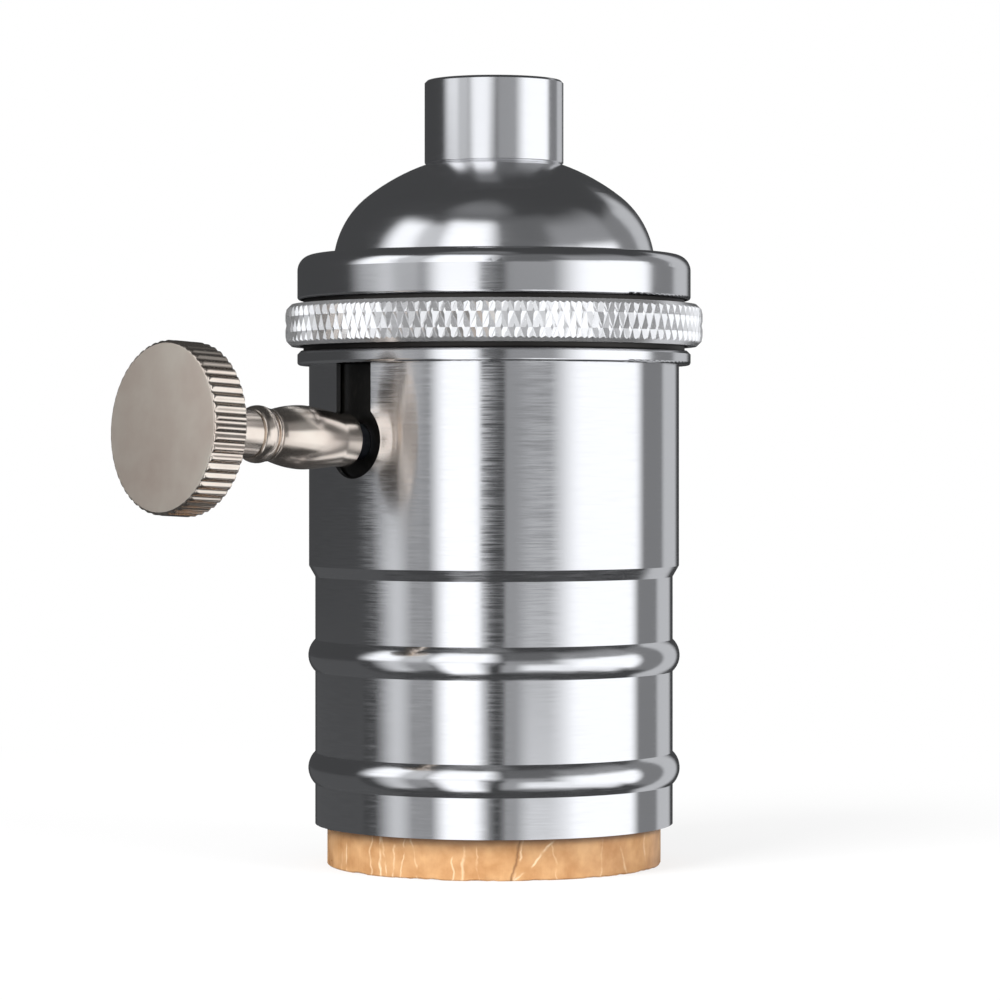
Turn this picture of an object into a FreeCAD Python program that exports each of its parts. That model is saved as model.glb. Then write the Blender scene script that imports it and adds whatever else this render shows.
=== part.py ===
import FreeCAD, Part
import math
import os
import re
import Sketcher

# A lamp holder with a turn knob, in millimetres. +Z runs up the lamp's axis, away from the lamp.
# The origin is the middle of the rim that the lamp enters. The spindle leaves the shell towards -X.

SIZES = [
    ("shell_radius", 18.0, "outside of the shell below its shoulder"),
    ("shell_wall", 0.5, "thickness of the shell's sheet"),
    ("shell_bottom", 4.1, "height of the shell's lower edge"),
    ("shell_rise", 6.07, "height of the shell above the switch body"),
    ("shoulder_height", 28.9, "where the shoulder starts"),
    ("shoulder_rise", 1.1, "height of the shoulder's slope"),
    ("shoulder_step", 0.63, "how far the shell widens at its shoulder"),
    ("shoulder_lift", 0.2, "how much higher the slope lies inside the sheet"),
    ("lower_bead_height", 9.7, "middle of the lower rolled bead"),
    ("upper_bead_height", 21.0, "middle of the upper rolled bead"),
    ("bead_width", 3.2, "height of a rolled bead"),
    ("bead_rise", 0.7, "how far a rolled bead stands out"),
    ("collar_inset", 0.18, "how far the threaded collar lies inside the shell's outside"),
    ("collar_cover", 0.8, "how far the ring reaches below the thread"),
    ("keyhole_lift", 0.1, "how far the keyhole's round end lies above the stem's middle"),
    ("keyhole_play", 1.2, "room between the keyhole's round end and the stem"),
    ("keyhole_channel", 5.2, "width of the keyhole's open channel"),
    ("ring_wall", 1.09, "thickness of the union ring round its mouth"),
    ("ring_reach", 6.5, "how far the ring reaches down over the shell"),
    ("ring_corner", 1.6, "round of the ring's upper corner"),
    ("ring_edge", 0.3, "round of the ring's other edges"),
    ("lip_height", 3.5, "height of the ring's lip above the cap's flange"),
    ("thread_clearance", 0.08, "play between the ring's thread and the shell's"),
    ("lip_clearance", 0.3, "play between the ring's lip and the cap"),
    ("seat_gap", 0.05, "gap where clamped faces meet"),
    ("lower_band", 1.9, "height of the ring below its knurled band"),
    ("knurl_rise", 1.2, "how far the knurled band stands out from the plain bands"),
    ("knurl_width", 4.2, "height of the knurled band"),
    ("knurl_chamfer", 0.6, "bevel of the knurled band's edges"),
    ("knurl_depth", 0.28, "depth of the knurl's grooves"),
    ("knurl_land", 0.08, "how far the diamonds' points are cut off"),
    ("knurl_count", 108, "diamonds round the ring"),
    ("knurl_rows", 3, "half diamonds up the band"),
    ("groove_width", 0.45, "width of the grooves beside the knurl"),
    ("groove_depth", 0.6, "depth of the grooves beside the knurl"),
    ("band_chamfer", 0.35, "bevel above the ring's lower band"),
    ("flange_width", 2.08, "how far the cap's flange stands out"),
    ("flange_clearance", 0.25, "play between the cap's flange and the ring"),
    ("cap_wall", 1.0, "thickness of the cap's sheet"),
    ("cap_shank", 2.35, "height of the cap's straight wall above its flange"),
    ("cap_rise", 11.5, "rise of the cap's curve to its unpierced crown"),
    ("cap_side_radius", 9.0, "radius of the curve at the cap's side"),
    ("hub_bore", 4.5, "bore of the neck hub's thread"),
    ("hub_wall", 2.5, "thickness of the neck hub"),
    ("hub_height", 8.5, "height of the neck hub above the cap"),
    ("hub_mouth", 0.5, "bevel of the hub's mouth"),
    ("hub_edge", 0.25, "bevel of the hub's outer edges"),
    ("spigot_wall", 1.1, "thickness of the hub's spigot in the cap"),
    ("stake_lap", 0.8, "how far the hub's staked end laps over the cap"),
    ("stake_height", 0.7, "height of the hub's staked end"),
    ("sleeve_clearance", 0.7, "gap between the insulating sleeve and the shell"),
    ("sleeve_wall", 0.8, "thickness of the insulating sleeve"),
    ("sleeve_gap", 0.1, "gap between the sleeve and the switch body"),
    ("body_clearance", 0.25, "play between the switch body and the shell"),
    ("body_edge", 0.5, "bevel of the switch body's upper edge"),
    ("cavity_front", 2.0, "room in the switch chamber before the rotor"),
    ("cavity_back", 0.3, "room in the switch chamber behind the rotor's cam"),
    ("cavity_head", 0.5, "room in the switch chamber above the blade"),
    ("cavity_ceiling", 2.0, "thickness of the switch chamber's ceiling"),
    ("base_clearance", 0.1, "play between the base and the sleeve"),
    ("base_thickness", 7.0, "thickness of the base"),
    ("socket_mouth", 2.6, "height of the screw shell's mouth"),
    ("socket_wall", 0.35, "thickness of the screw shell's sheet"),
    ("floor_wall", 0.4, "thickness of the screw shell's floor"),
    ("floor_land", 1.25, "floor left inside the tie screws' holes"),
    ("thread_radius", 12.8, "mean radius inside the lamp thread"),
    ("thread_wave", 0.52, "height of the lamp thread's wave each side of its mean"),
    ("thread_pitch", 3.629, "pitch of the lamp thread, seven turns to the inch"),
    ("thread_fade", 1.6, "length over which the thread runs out at each end"),
    ("thread_margin", 1.2, "plain length at each end of the thread"),
    ("thread_columns", 32, "facets of the lamp thread in one turn"),
    ("thread_rows", 8, "facets of the lamp thread in one pitch"),
    ("tie_room", 1.0, "room between the tie screws' heads and the lamp thread"),
    ("tie_depth", 14.0, "depth of the blind tie screw's hole in the switch body"),
    ("tie_end_gap", 0.4, "room at the end of the blind tie screw"),
    ("tie_head_radius", 2.4, "head of the tie screws"),
    ("tie_head_height", 1.6, "height of the tie screws' heads"),
    ("screw_radius", 1.5, "shank of the screws"),
    ("screw_clearance", 0.05, "play round the screws"),
    ("screw_tip", 0.3, "bevel of the screws' tips"),
    ("head_corner", 0.6, "round of the screws' heads"),
    ("slot_width", 0.7, "driver slot of the screws"),
    ("slot_depth", 0.8, "depth of the driver slot"),
    ("terminal_head_radius", 2.8, "head of the terminal screws"),
    ("terminal_head_height", 1.8, "height of the terminal screws' heads"),
    ("terminal_across", 5.4, "place of the terminal screws along the spindle"),
    ("terminal_out", 10.4, "place of the terminal screws across the spindle"),
    ("terminal_hole", 6.0, "depth of the terminal screws' holes"),
    ("terminal_end_gap", 0.8, "room at the end of the terminal screws"),
    ("plate_wall", 0.8, "thickness of the terminal plates"),
    ("plate_end", 2.6, "plate left outside the terminal screws"),
    ("plate_side", 3.2, "plate left beside a screw"),
    ("strip_wall", 0.6, "thickness of the contact strips"),
    ("strip_width", 3.2, "width of the contact strips"),
    ("strip_reach", 2.6, "how far the contact strips pass the blade's level"),
    ("strip_foot", 1.8, "how far the lamp strip's foot passes the rivet"),
    ("rivet_radius", 1.0, "shank of the contact rivet"),
    ("rivet_head_radius", 1.6, "heads of the contact rivet"),
    ("rivet_head_height", 0.6, "height of the contact rivet's heads"),
    ("rivet_clearance", 0.02, "play round the contact rivet"),
    ("contact_wall", 0.5, "thickness of the centre contact"),
    ("contact_width", 5.0, "width of the centre contact"),
    ("contact_root", 2.0, "flat of the centre contact each side of its rivet"),
    ("contact_drop", 2.8, "how far the centre contact stands off its base"),
    ("contact_run", 2.2, "length of the centre contact's slope"),
    ("contact_pad", 2.6, "length of the centre contact's pad"),
    ("contact_tip", 1.0, "rise and length of the centre contact's turned-up tip"),
    ("spindle_rise", 11.5, "height of the spindle over the switch body's underside, at the lamp's axis"),
    ("spindle_tilt", 3.0, "degrees that the spindle rises towards the knob"),
    ("spindle_radius", 1.8, "radius of the spindle"),
    ("spindle_running", 0.06, "play of the spindle in the switch body"),
    ("flat_depth", 0.5, "depth of the spindle's flat"),
    ("tail_length", 2.8, "how far the spindle passes the rotor"),
    ("spindle_end_gap", 0.3, "room behind the spindle's tail"),
    ("nose_grip", 7.15, "length of the spindle inside the knob's stem"),
    ("spindle_tip", 0.3, "bevel of the spindle's ends"),
    ("fixed_fit", 0.02, "play of what is fixed on the spindle"),
    ("rotor_front", -4.6, "knob end of the rotor, along the spindle from the lamp's axis"),
    ("rotor_shoulder", -2.8, "where the blade seats on the rotor"),
    ("rotor_cam", 1.2, "where the rotor's cam starts"),
    ("rotor_back", 6.4, "far end of the rotor"),
    ("rotor_radius", 3.4, "radius of the rotor's drum"),
    ("rotor_square", 5.2, "side of the rotor's square seat"),
    ("cam_radius", 4.6, "radius of the rotor's cam"),
    ("notch_radius", 1.2, "round of the cam's four notches"),
    ("notch_depth", 0.3, "depth of the cam's four notches"),
    ("blade_wall", 1.2, "thickness of the rotor's blade"),
    ("blade_reach", 6.35, "radius of the blade's tips"),
    ("blade_gap", 0.15, "gap between the blade's tips and the contact strips"),
    ("blade_width", 3.2, "width of the blade's arms"),
    ("blade_rim", 0.4, "blade left round the corners of its square hole"),
    ("pin_radius", 0.6, "radius of the rotor's cross pin"),
    ("pin_place", -0.8, "place of the cross pin along the spindle"),
    ("pin_inset", 0.1, "how far the cross pin's ends lie inside the drum"),
    ("spring_wall", 0.3, "thickness of the detent spring"),
    ("spring_width", 2.4, "width of the detent spring"),
    ("spring_middle", 3.5, "place of the detent spring along the spindle"),
    ("spring_end_gap", 0.7, "room beside the detent spring's ends"),
    ("spring_bow", 0.66, "rise of the detent spring's bow"),
    ("spring_play", 0.14, "gap between the detent spring and the cam's rim"),
    ("post_inset", 0.8, "how far the posts' middles lie inside the spring's ends"),
    ("post_length", 3.0, "size of the spring's posts along the spindle"),
    ("post_width", 2.0, "size of the spring's posts across the spindle"),
    ("stem_gap", 0.72, "gap between the shell and the stem's end"),
    ("stem_radius", 2.6, "radius of the stem at the shell"),
    ("stem_edge", 0.15, "bevel of the stem's end"),
    ("stem_collar", 2.05, "length of the stem's plain end"),
    ("barrel_fall", 3.6, "length of the barrel from its plain end to its crest"),
    ("barrel_run", 3.95, "length of the barrel from its crest towards the knob"),
    ("barrel_radius", 3.1, "radius of the barrel's crest"),
    ("barrel_neck", 2.45, "radius at the barrel's outer end"),
    ("barrel_back_curve", 12.0, "curve of the barrel towards the shell"),
    ("barrel_front_curve", 15.0, "curve of the barrel towards the knob"),
    ("fillet_ring_width", 0.45, "width of the stem's fine ring"),
    ("fillet_ring_curve", 0.27, "round of the stem's fine ring"),
    ("fillet_ring_gap", 0.1, "gap on each side of the fine ring"),
    ("fillet_ring_core", 2.35, "radius beside the fine ring"),
    ("stem_bead_width", 1.8, "width of the stem's bead"),
    ("stem_bead_curve", 1.15, "radius of the bead's swell"),
    ("neck_radius", 2.35, "radius of the neck behind the knob's disc"),
    ("neck_length", 6.72, "length of the neck between the stem's bead and the disc"),
    ("neck_cove", 0.5, "cove where the neck meets the knob's disc"),
    ("knob_radius", 8.25, "outside of the knob's flutes"),
    ("knob_thickness", 3.75, "thickness of the knob's disc"),
    ("knob_edge", 0.45, "bevel of the knob's face"),
    ("knob_back_edge", 0.12, "bevel of the knob's back"),
    ("flute_count", 52, "flutes round the knob"),
    ("flute_radius", 0.2, "round of the knob's flutes"),
    ("flute_sink", 0.12, "how far the middle of a flute's round lies inside the disc"),
]

DERIVED = [
    ("bead_radius", "=((bead_width / 2) ^ 2 + bead_rise ^ 2) / (2 * bead_rise)", "curve of a rolled bead"),
    ("shoulder_radius", "=shell_radius + shoulder_step", "outside of the shell above its shoulder"),
    ("sleeve_radius", "=shell_radius - shell_wall - sleeve_clearance", "outside of the insulating sleeve"),
    ("body_radius", "=shoulder_radius - shell_wall - body_clearance", "outside of the switch body"),
    ("body_bottom", "=shoulder_height + shoulder_rise", "underside of the switch body"),
    ("base_radius", "=sleeve_radius - sleeve_wall - base_clearance", "outside of the base"),
    ("base_bottom", "=body_bottom - base_thickness", "underside of the base"),
    ("floor_bottom", "=base_bottom - floor_wall", "underside of the screw shell's floor"),
    ("tie_across", "=thread_radius - tie_head_radius - tie_room", "distance of the tie screws from the axis"),
    (
        "floor_hole",
        "=tie_across - screw_radius - screw_clearance - floor_land",
        "radius of the hole in the screw shell's floor",
    ),
    ("spindle_height", "=body_bottom + spindle_rise", "height where the spindle meets the lamp's axis"),
    ("spindle_flat", "=spindle_radius - flat_depth", "distance of the spindle's flat from its axis"),
    ("spindle_tail", "=rotor_back + tail_length", "how far the spindle passes the lamp's axis"),
    ("strip_middle", "=rotor_shoulder - blade_wall / 2", "middle of the contact strips along the spindle"),
    ("strip_start", "=strip_middle - strip_width / 2", "knob side of the contact strips"),
    ("blade_level", "=spindle_height - strip_middle * tan(spindle_tilt)", "height of the blade's middle"),
    ("blade_hub", "=(rotor_square / 2 + fixed_fit) * sqrt(2) + blade_rim", "radius of the blade's middle"),
    ("blade_root", "=sqrt(blade_hub ^ 2 - blade_width ^ 2 / 4)", "where the blade's arms leave its middle"),
    ("blade_end", "=sqrt(blade_reach ^ 2 - blade_width ^ 2 / 4)", "where the blade's tips start to curve"),
    (
        "cavity_near",
        "=rotor_front * cos(spindle_tilt) - blade_reach * sin(spindle_tilt) - cavity_front",
        "knob side of the switch chamber",
    ),
    (
        "cavity_far",
        "=rotor_back * cos(spindle_tilt) + cam_radius * sin(spindle_tilt) + cavity_back",
        "far side of the switch chamber",
    ),
    ("cavity_side", "=blade_reach + blade_gap + strip_wall", "half the width of the switch chamber"),
    ("cavity_top", "=blade_level + blade_reach + cavity_head", "ceiling of the switch chamber"),
    ("body_top", "=cavity_top + cavity_ceiling", "upper face of the switch body"),
    ("plate_outer", "=terminal_out + plate_end", "how far the terminal plates reach from the axis"),
    ("terminal_length", "=terminal_hole + plate_wall - terminal_end_gap", "terminal screws' shanks"),
    (
        "spring_top",
        "=spindle_height - (spring_middle + spring_width / 2) * tan(spindle_tilt)"
        " - cam_radius - spring_play",
        "top of the detent spring's bow",
    ),
    ("spring_half", "=cavity_side - spring_end_gap", "half length of the detent spring"),
    ("spring_curve", "=(spring_half ^ 2 + spring_bow ^ 2) / (2 * spring_bow)", "curve of the spring's bow"),
    ("post_out", "=spring_half - post_inset", "distance of the spring's posts from the axis"),
    (
        "post_top",
        "=spring_top - spring_wall - spring_curve"
        " + sqrt(spring_curve ^ 2 - (post_out + post_width / 2) ^ 2)",
        "top of the spring's posts",
    ),
    ("stem_end", "=shoulder_radius + stem_gap", "distance of the stem's end from the lamp's axis"),
    ("barrel_start", "=stem_end + stem_collar", "distance where the stem's barrel starts"),
    ("barrel_crest", "=barrel_start + barrel_fall", "distance of the barrel's crest"),
    ("barrel_end", "=barrel_crest + barrel_run", "distance where the stem's barrel ends"),
    ("ring_place", "=barrel_end + fillet_ring_gap", "inner end of the stem's fine ring"),
    ("bead_start", "=ring_place + fillet_ring_width + fillet_ring_gap", "inner end of the stem's bead"),
    ("disc_back", "=bead_start + stem_bead_width + neck_length", "back of the knob's disc"),
    ("knob_face", "=disc_back + knob_thickness", "distance of the knob's face from the lamp's axis"),
    ("spindle_nose", "=stem_end + nose_grip", "distance of the spindle's end in the knob"),
    ("keyhole_radius", "=stem_radius + keyhole_play", "round end of the keyhole"),
    (
        "keyhole_height",
        "=spindle_height + shoulder_radius * tan(spindle_tilt) + keyhole_lift",
        "middle of the keyhole's round end",
    ),
    ("shell_top", "=body_top + shell_rise", "height of the shell's upper edge, under the ring"),
    ("collar_radius", "=shoulder_radius - collar_inset", "outside of the threaded collar"),
    ("ring_bore", "=collar_radius + thread_clearance", "inside of the ring's thread"),
    ("ring_mouth", "=shoulder_radius + thread_clearance", "inside of the ring below its thread"),
    ("ring_radius", "=ring_mouth + ring_wall", "outside of the union ring's plain bands"),
    ("ring_bottom", "=shell_top - ring_reach", "height of the ring's lower edge"),
    ("collar_bottom", "=ring_bottom + collar_cover", "lower end of the collar's thread"),
    ("knurl_bottom", "=ring_bottom + lower_band", "height of the knurled band's lower edge"),
    ("knurl_top", "=knurl_bottom + knurl_width", "height of the knurled band's upper edge"),
    ("knurl_radius", "=ring_radius + knurl_rise", "outside of the knurled band"),
    ("flange_bottom", "=shell_top + seat_gap", "underside of the cap's flange"),
    ("flange_radius", "=ring_bore - flange_clearance", "outside of the cap's flange"),
    ("cap_radius", "=flange_radius - flange_width", "outside of the cap above its flange"),
    ("lip_radius", "=cap_radius + lip_clearance", "opening of the ring's lip"),
    ("lip_under", "=flange_bottom + cap_wall + seat_gap", "underside of the ring's lip"),
    ("ring_top", "=lip_under + lip_height", "height of the ring's upper face"),
    ("hub_radius", "=hub_bore + hub_wall", "outside of the neck hub"),
    ("hub_spigot", "=hub_bore + spigot_wall", "radius of the hub's spigot in the cap"),
    ("stake_radius", "=hub_spigot + stake_lap", "radius of the hub's staked end"),
    ("cap_spring", "=flange_bottom + cap_wall + cap_shank", "height where the cap's curve starts"),
    (
        "crown_radius",
        "=((cap_radius - cap_side_radius) ^ 2 + cap_rise ^ 2 - cap_side_radius ^ 2)"
        " / (2 * (cap_rise - cap_side_radius))",
        "radius of the cap's crown, tangent to its side",
    ),
    ("crown_centre", "=cap_spring + cap_rise - crown_radius", "centre of the crown's curve"),
    (
        "blend_across",
        "=(cap_radius - cap_side_radius) / (crown_radius - cap_side_radius)",
        "share of a radius at which crown and side meet, across",
    ),
    (
        "blend_up",
        "=(crown_radius - cap_rise) / (crown_radius - cap_side_radius)",
        "share of a radius at which crown and side meet, up",
    ),
    ("cap_seat", "=crown_centre + sqrt(crown_radius ^ 2 - hub_radius ^ 2)", "height of the hub's seat"),
    (
        "inner_flat",
        "=sqrt((crown_radius - cap_wall) ^ 2 - (cap_seat - cap_wall - crown_centre) ^ 2)",
        "radius of the flat under the hub's seat",
    ),
    ("hub_top", "=cap_seat + hub_height", "height of the hub's mouth"),
]

NAMES = {name for name, _, _ in SIZES + DERIVED}
FULL_TURN = 360
STRAIGHT_UP = FreeCAD.Vector(0, 0, 1)
SIDEWAYS = FreeCAD.Vector(0, 1, 0)
SMALLEST_EDGE = 1e-6
SMALLEST_CUT = 1e-3

document = FreeCAD.newDocument("lamp_holder")
sheet = document.addObject("Spreadsheet::Sheet", "sizes")
for row, (name, size, meaning) in enumerate(SIZES + DERIVED, start=1):
    sheet.set(f"A{row}", name)
    sheet.set(f"B{row}", str(size))
    sheet.setAlias(f"B{row}", name)
    sheet.set(f"C{row}", meaning)
document.recompute()


def bound(total):
    """The sum as an expression that looks its sizes up in the sheet."""
    return re.sub("[a-z_]+", lambda word: "sizes." + word[0] if word[0] in NAMES else word[0], total)


def value(total):
    """What the sum comes to."""
    return float(sheet.evalExpression(bound(total)))


def bind(item, path, total):
    """Ties one property of an object to a sum of sizes."""
    item.setExpression(path, bound(total))


def place(item, across="0", along="0", up="0"):
    """Ties an object's place to sums of sizes."""
    for letter, total in zip("xyz", (across, along, up)):
        bind(item, f".Placement.Base.{letter}", total)


def tilt(item, turn):
    """Turns an object about the Y direction, by a sum of degrees."""
    item.Placement = FreeCAD.Placement(FreeCAD.Vector(), FreeCAD.Rotation(SIDEWAYS, 1))
    bind(item, ".Placement.Rotation.Angle", turn)


def on_spindle(item):
    """Puts a piece that was drawn along X onto the tilted spindle."""
    tilt(item, "spindle_tilt")
    place(item, up="spindle_height")


def new_sketch(body, name, role, offset="0"):
    """A sketch on one of the body's own planes, or at a distance from it."""
    plane = next(plane for plane in body.Origin.OriginFeatures if plane.Role == role)
    sketch = body.newObject("Sketcher::SketchObject", name)
    sketch.AttachmentSupport = (plane, "")
    sketch.MapMode = "FlatFace"
    bind(sketch, ".AttachmentOffset.Base.z", offset)
    return sketch


def hold(sketch, kind, where, total):
    """One dimension of a sketch, tied to a sum of sizes."""
    number = sketch.addConstraint(Sketcher.Constraint(kind, *where, value(total)))
    bind(sketch, f"Constraints[{number}]", total)


def hold_point(sketch, edge, end, across, up):
    """Places one point of a sketch from the sketch's origin."""
    hold(sketch, "DistanceX", (-1, 1, edge, end), across)
    hold(sketch, "DistanceY", (-1, 1, edge, end), up)


def short_arc(start, end, turn, radius):
    """The short arc from start to end, which turns left or right on its way."""
    chord = end - start
    side = FreeCAD.Vector(-chord.y, chord.x, 0) / chord.Length
    if turn == "right":
        side = -side
    centre = (start + end) / 2 + side * math.sqrt(radius**2 - chord.Length**2 / 4)
    first, last = (start, end) if turn == "left" else (end, start)
    angles = [math.atan2(spot.y - centre.y, spot.x - centre.x) for spot in (first, last)]
    return Part.ArcOfCircle(Part.Circle(centre, STRAIGHT_UP, radius), *angles)


def outline(sketch, corners):
    """Joins the corners into one closed outline.

    A corner is (across, up), or (across, up, turn, radius) where an arc leads on from it.
    """
    spots = [FreeCAD.Vector(value(corner[0]), value(corner[1])) for corner in corners]
    ends = []
    for corner, start, end in zip(corners, spots, spots[1:] + spots[:1]):
        if len(corner) == 2:
            sketch.addGeometry(Part.LineSegment(start, end))
            ends.append((1, 2))
        else:
            sketch.addGeometry(short_arc(start, end, corner[2], value(corner[3])))
            ends.append((1, 2) if corner[2] == "left" else (2, 1))
    for edge, corner in enumerate(corners):
        after = (edge + 1) % len(corners)
        join = Sketcher.Constraint("Coincident", edge, ends[edge][1], after, ends[after][0])
        sketch.addConstraint(join)
        hold_point(sketch, edge, ends[edge][0], corner[0], corner[1])
        if len(corner) > 2:
            hold(sketch, "Radius", (edge,), corner[3])


def rounds(sketch, circles):
    """Draws circles, each given by its centre and radius."""
    centre_point = 3
    for edge, (across, up, radius) in enumerate(circles):
        centre = FreeCAD.Vector(value(across), value(up))
        sketch.addGeometry(Part.Circle(centre, STRAIGHT_UP, value(radius)))
        hold_point(sketch, edge, centre_point, across, up)
        hold(sketch, "Radius", (edge,), radius)


def new_body(name):
    """An empty body under the piece's own name."""
    return document.addObject("PartDesign::Body", name)


def turned(name, corners, axis="V_Axis"):
    """A piece turned from its half outline in the XZ plane, about Z, or about X with H_Axis."""
    body = new_body(name)
    profile = new_sketch(body, name + "_profile", "XZ_Plane")
    outline(profile, corners)
    turning = body.newObject("PartDesign::Revolution", name + "_turning")
    turning.Profile = profile
    turning.ReferenceAxis = (profile, [axis])
    turning.Angle = FULL_TURN
    return body


def add(body, name, role, start, depth, corners):
    """Adds one thickness of an outline, from start along the plane's normal."""
    profile = new_sketch(body, name + "_profile", role, start)
    outline(profile, corners)
    pad = body.newObject("PartDesign::Pad", name)
    pad.Profile = profile
    bind(pad, "Length", depth)


def remove(body, name, role, start, depth, corners=(), circles=(), forwards=False):
    """Cuts an outline or circles away, backwards from start or forwards along the plane's normal."""
    profile = new_sketch(body, name + "_profile", role, start)
    if corners:
        outline(profile, corners)
    rounds(profile, circles)
    pocket = body.newObject("PartDesign::Pocket", name)
    pocket.Profile = profile
    pocket.Reversed = forwards
    bind(pocket, "Length", depth)
    return pocket


def repeat_round(body, name, feature, axis_role, count):
    """Repeats a feature round one of the body's own axes."""
    axis = next(line for line in body.Origin.OriginFeatures if line.Role == axis_role)
    pattern = body.newObject("PartDesign::PolarPattern", name)
    pattern.Originals = [feature]
    pattern.Axis = (axis, [""])
    pattern.Angle = FULL_TURN
    bind(pattern, "Occurrences", count)
    body.Tip = pattern


def box(low_across, high_across, low_up, high_up):
    """The four corners of a rectangle."""
    return [
        (low_across, low_up),
        (high_across, low_up),
        (high_across, high_up),
        (low_across, high_up),
    ]


def rod(name, radius, length):
    """A plain cylinder, used to bore another piece."""
    cylinder = document.addObject("Part::Cylinder", name)
    bind(cylinder, "Radius", radius)
    bind(cylinder, "Height", length)
    return cylinder


def cut(name, base, tool):
    """One piece with another's space taken out of it."""
    result = document.addObject("Part::Cut", name)
    result.Base = base
    result.Tool = tool
    result.Refine = False
    return result


def by_code(name, shape):
    """A shape that no sketch gives, kept as an object of the document."""
    item = document.addObject("Part::Feature", name)
    item.Shape = shape
    return item


def closed_solid(faces):
    """The solid that a closed set of faces holds."""
    shell = Part.makeShell(faces)
    shell.sewShape()
    solid = Part.makeSolid(shell)
    if solid.Volume < 0:
        solid.reverse()
    return solid


def outer_shell():
    """Drawn sheet shell: rolled beads, a shoulder, a collar for the ring and an open keyhole."""
    inner = "shell_radius - shell_wall"
    beads = ("lower_bead_height", "upper_bead_height")
    corners = [(inner, "shell_bottom"), ("shell_radius", "shell_bottom")]
    for bead in beads:
        corners.append(("shell_radius", f"{bead} - bead_width / 2", "left", "bead_radius"))
        corners.append(("shell_radius", f"{bead} + bead_width / 2"))
    corners += [
        ("shell_radius", "shoulder_height"),
        ("shoulder_radius", "shoulder_height + shoulder_rise"),
        ("shoulder_radius", "collar_bottom"),
        ("collar_radius", "collar_bottom"),
        ("collar_radius", "shell_top"),
        ("shoulder_radius - shell_wall", "shell_top"),
        ("shoulder_radius - shell_wall", "shoulder_height + shoulder_rise + shoulder_lift"),
        (inner, "shoulder_height + shoulder_lift"),
    ]
    for bead in reversed(beads):
        corners.append((inner, f"{bead} + bead_width / 2", "right", "bead_radius"))
        corners.append((inner, f"{bead} - bead_width / 2"))
    body = turned("outer_shell", corners)
    half = "keyhole_channel / 2"
    drop = "keyhole_height + sqrt(keyhole_radius ^ 2 - keyhole_channel ^ 2 / 4)"
    keyhole = [
        (f"-{half}", "shell_top + shell_wall"),
        (f"-{half}", drop, "left", "keyhole_radius"),
        ("0", "keyhole_height - keyhole_radius", "left", "keyhole_radius"),
        (half, drop),
        (half, "shell_top + shell_wall"),
    ]
    remove(body, "keyhole", "YZ_Plane", "0", "2 * shoulder_radius", corners=keyhole)
    return body


def knurl_space():
    """The space that the knurling wheels press out of the ring: flat facets between its diamonds."""
    count = int(value("knurl_count"))
    rows = int(value("knurl_rows"))
    low = value("knurl_bottom - groove_width / 2")
    step = value("(knurl_width + groove_width) / knurl_rows")
    outside = value("knurl_radius + groove_depth")
    reach = {True: value("knurl_radius + knurl_land"), False: value("knurl_radius - knurl_depth")}

    def spot(row, half, radius=None):
        """A point of the net: diamonds' points and groove crossings take turns."""
        angle = half * math.pi / count
        away = radius or reach[(row + half) % 2 == 1]
        return FreeCAD.Vector(away * math.cos(angle), away * math.sin(angle), low + row * step)

    faces = []
    for row in range(rows + 1):
        for half in range(2 * count):
            if (row + half) % 2 == 0:
                continue
            peak = spot(row, half)
            left = spot(row, half - 1)
            right = spot(row, half + 1)
            if row < rows:
                above = spot(row + 1, half)
                faces += [(peak, right, above), (peak, above, left)]
            if row > 0:
                below = spot(row - 1, half)
                faces += [(peak, left, below), (peak, below, right)]
    for half in range(2 * count):
        for row in (0, rows):
            rim = (spot(row, half + 1, outside), spot(row, half, outside))
            faces.append((spot(row, half), spot(row, half + 1), *rim))
        wall = (spot(rows, half + 1, outside), spot(rows, half, outside))
        faces.append((spot(0, half, outside), spot(0, half + 1, outside), *wall))
    return closed_solid([Part.Face(Part.makePolygon([*face, face[0]])) for face in faces])


def knurled_ring():
    """Union ring: an inner lip over the cap's flange, a thread below it and a knurled grip."""
    blank = turned("ring_blank", [
        ("ring_mouth", "ring_bottom"),
        ("ring_radius - ring_edge", "ring_bottom", "left", "ring_edge"),
        ("ring_radius", "ring_bottom + ring_edge"),
        ("ring_radius", "knurl_bottom - groove_width - band_chamfer"),
        ("ring_radius - band_chamfer", "knurl_bottom - groove_width"),
        ("ring_radius - groove_depth", "knurl_bottom - groove_width"),
        ("ring_radius - groove_depth", "knurl_bottom"),
        ("knurl_radius - knurl_chamfer", "knurl_bottom"),
        ("knurl_radius", "knurl_bottom + knurl_chamfer"),
        ("knurl_radius", "knurl_top - knurl_chamfer"),
        ("knurl_radius - knurl_chamfer", "knurl_top"),
        ("ring_radius - groove_depth", "knurl_top"),
        ("ring_radius - groove_depth", "knurl_top + groove_width"),
        ("ring_radius - ring_edge", "knurl_top + groove_width", "left", "ring_edge"),
        ("ring_radius", "knurl_top + groove_width + ring_edge"),
        ("ring_radius", "ring_top - ring_corner", "left", "ring_corner"),
        ("ring_radius - ring_corner", "ring_top"),
        ("lip_radius + ring_edge", "ring_top", "left", "ring_edge"),
        ("lip_radius", "ring_top - ring_edge"),
        ("lip_radius", "lip_under"),
        ("ring_bore", "lip_under"),
        ("ring_bore", "collar_bottom + seat_gap"),
        ("ring_mouth", "collar_bottom + seat_gap"),
    ])
    return cut("knurled_ring", blank, by_code("knurl_space", knurl_space()))


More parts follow.
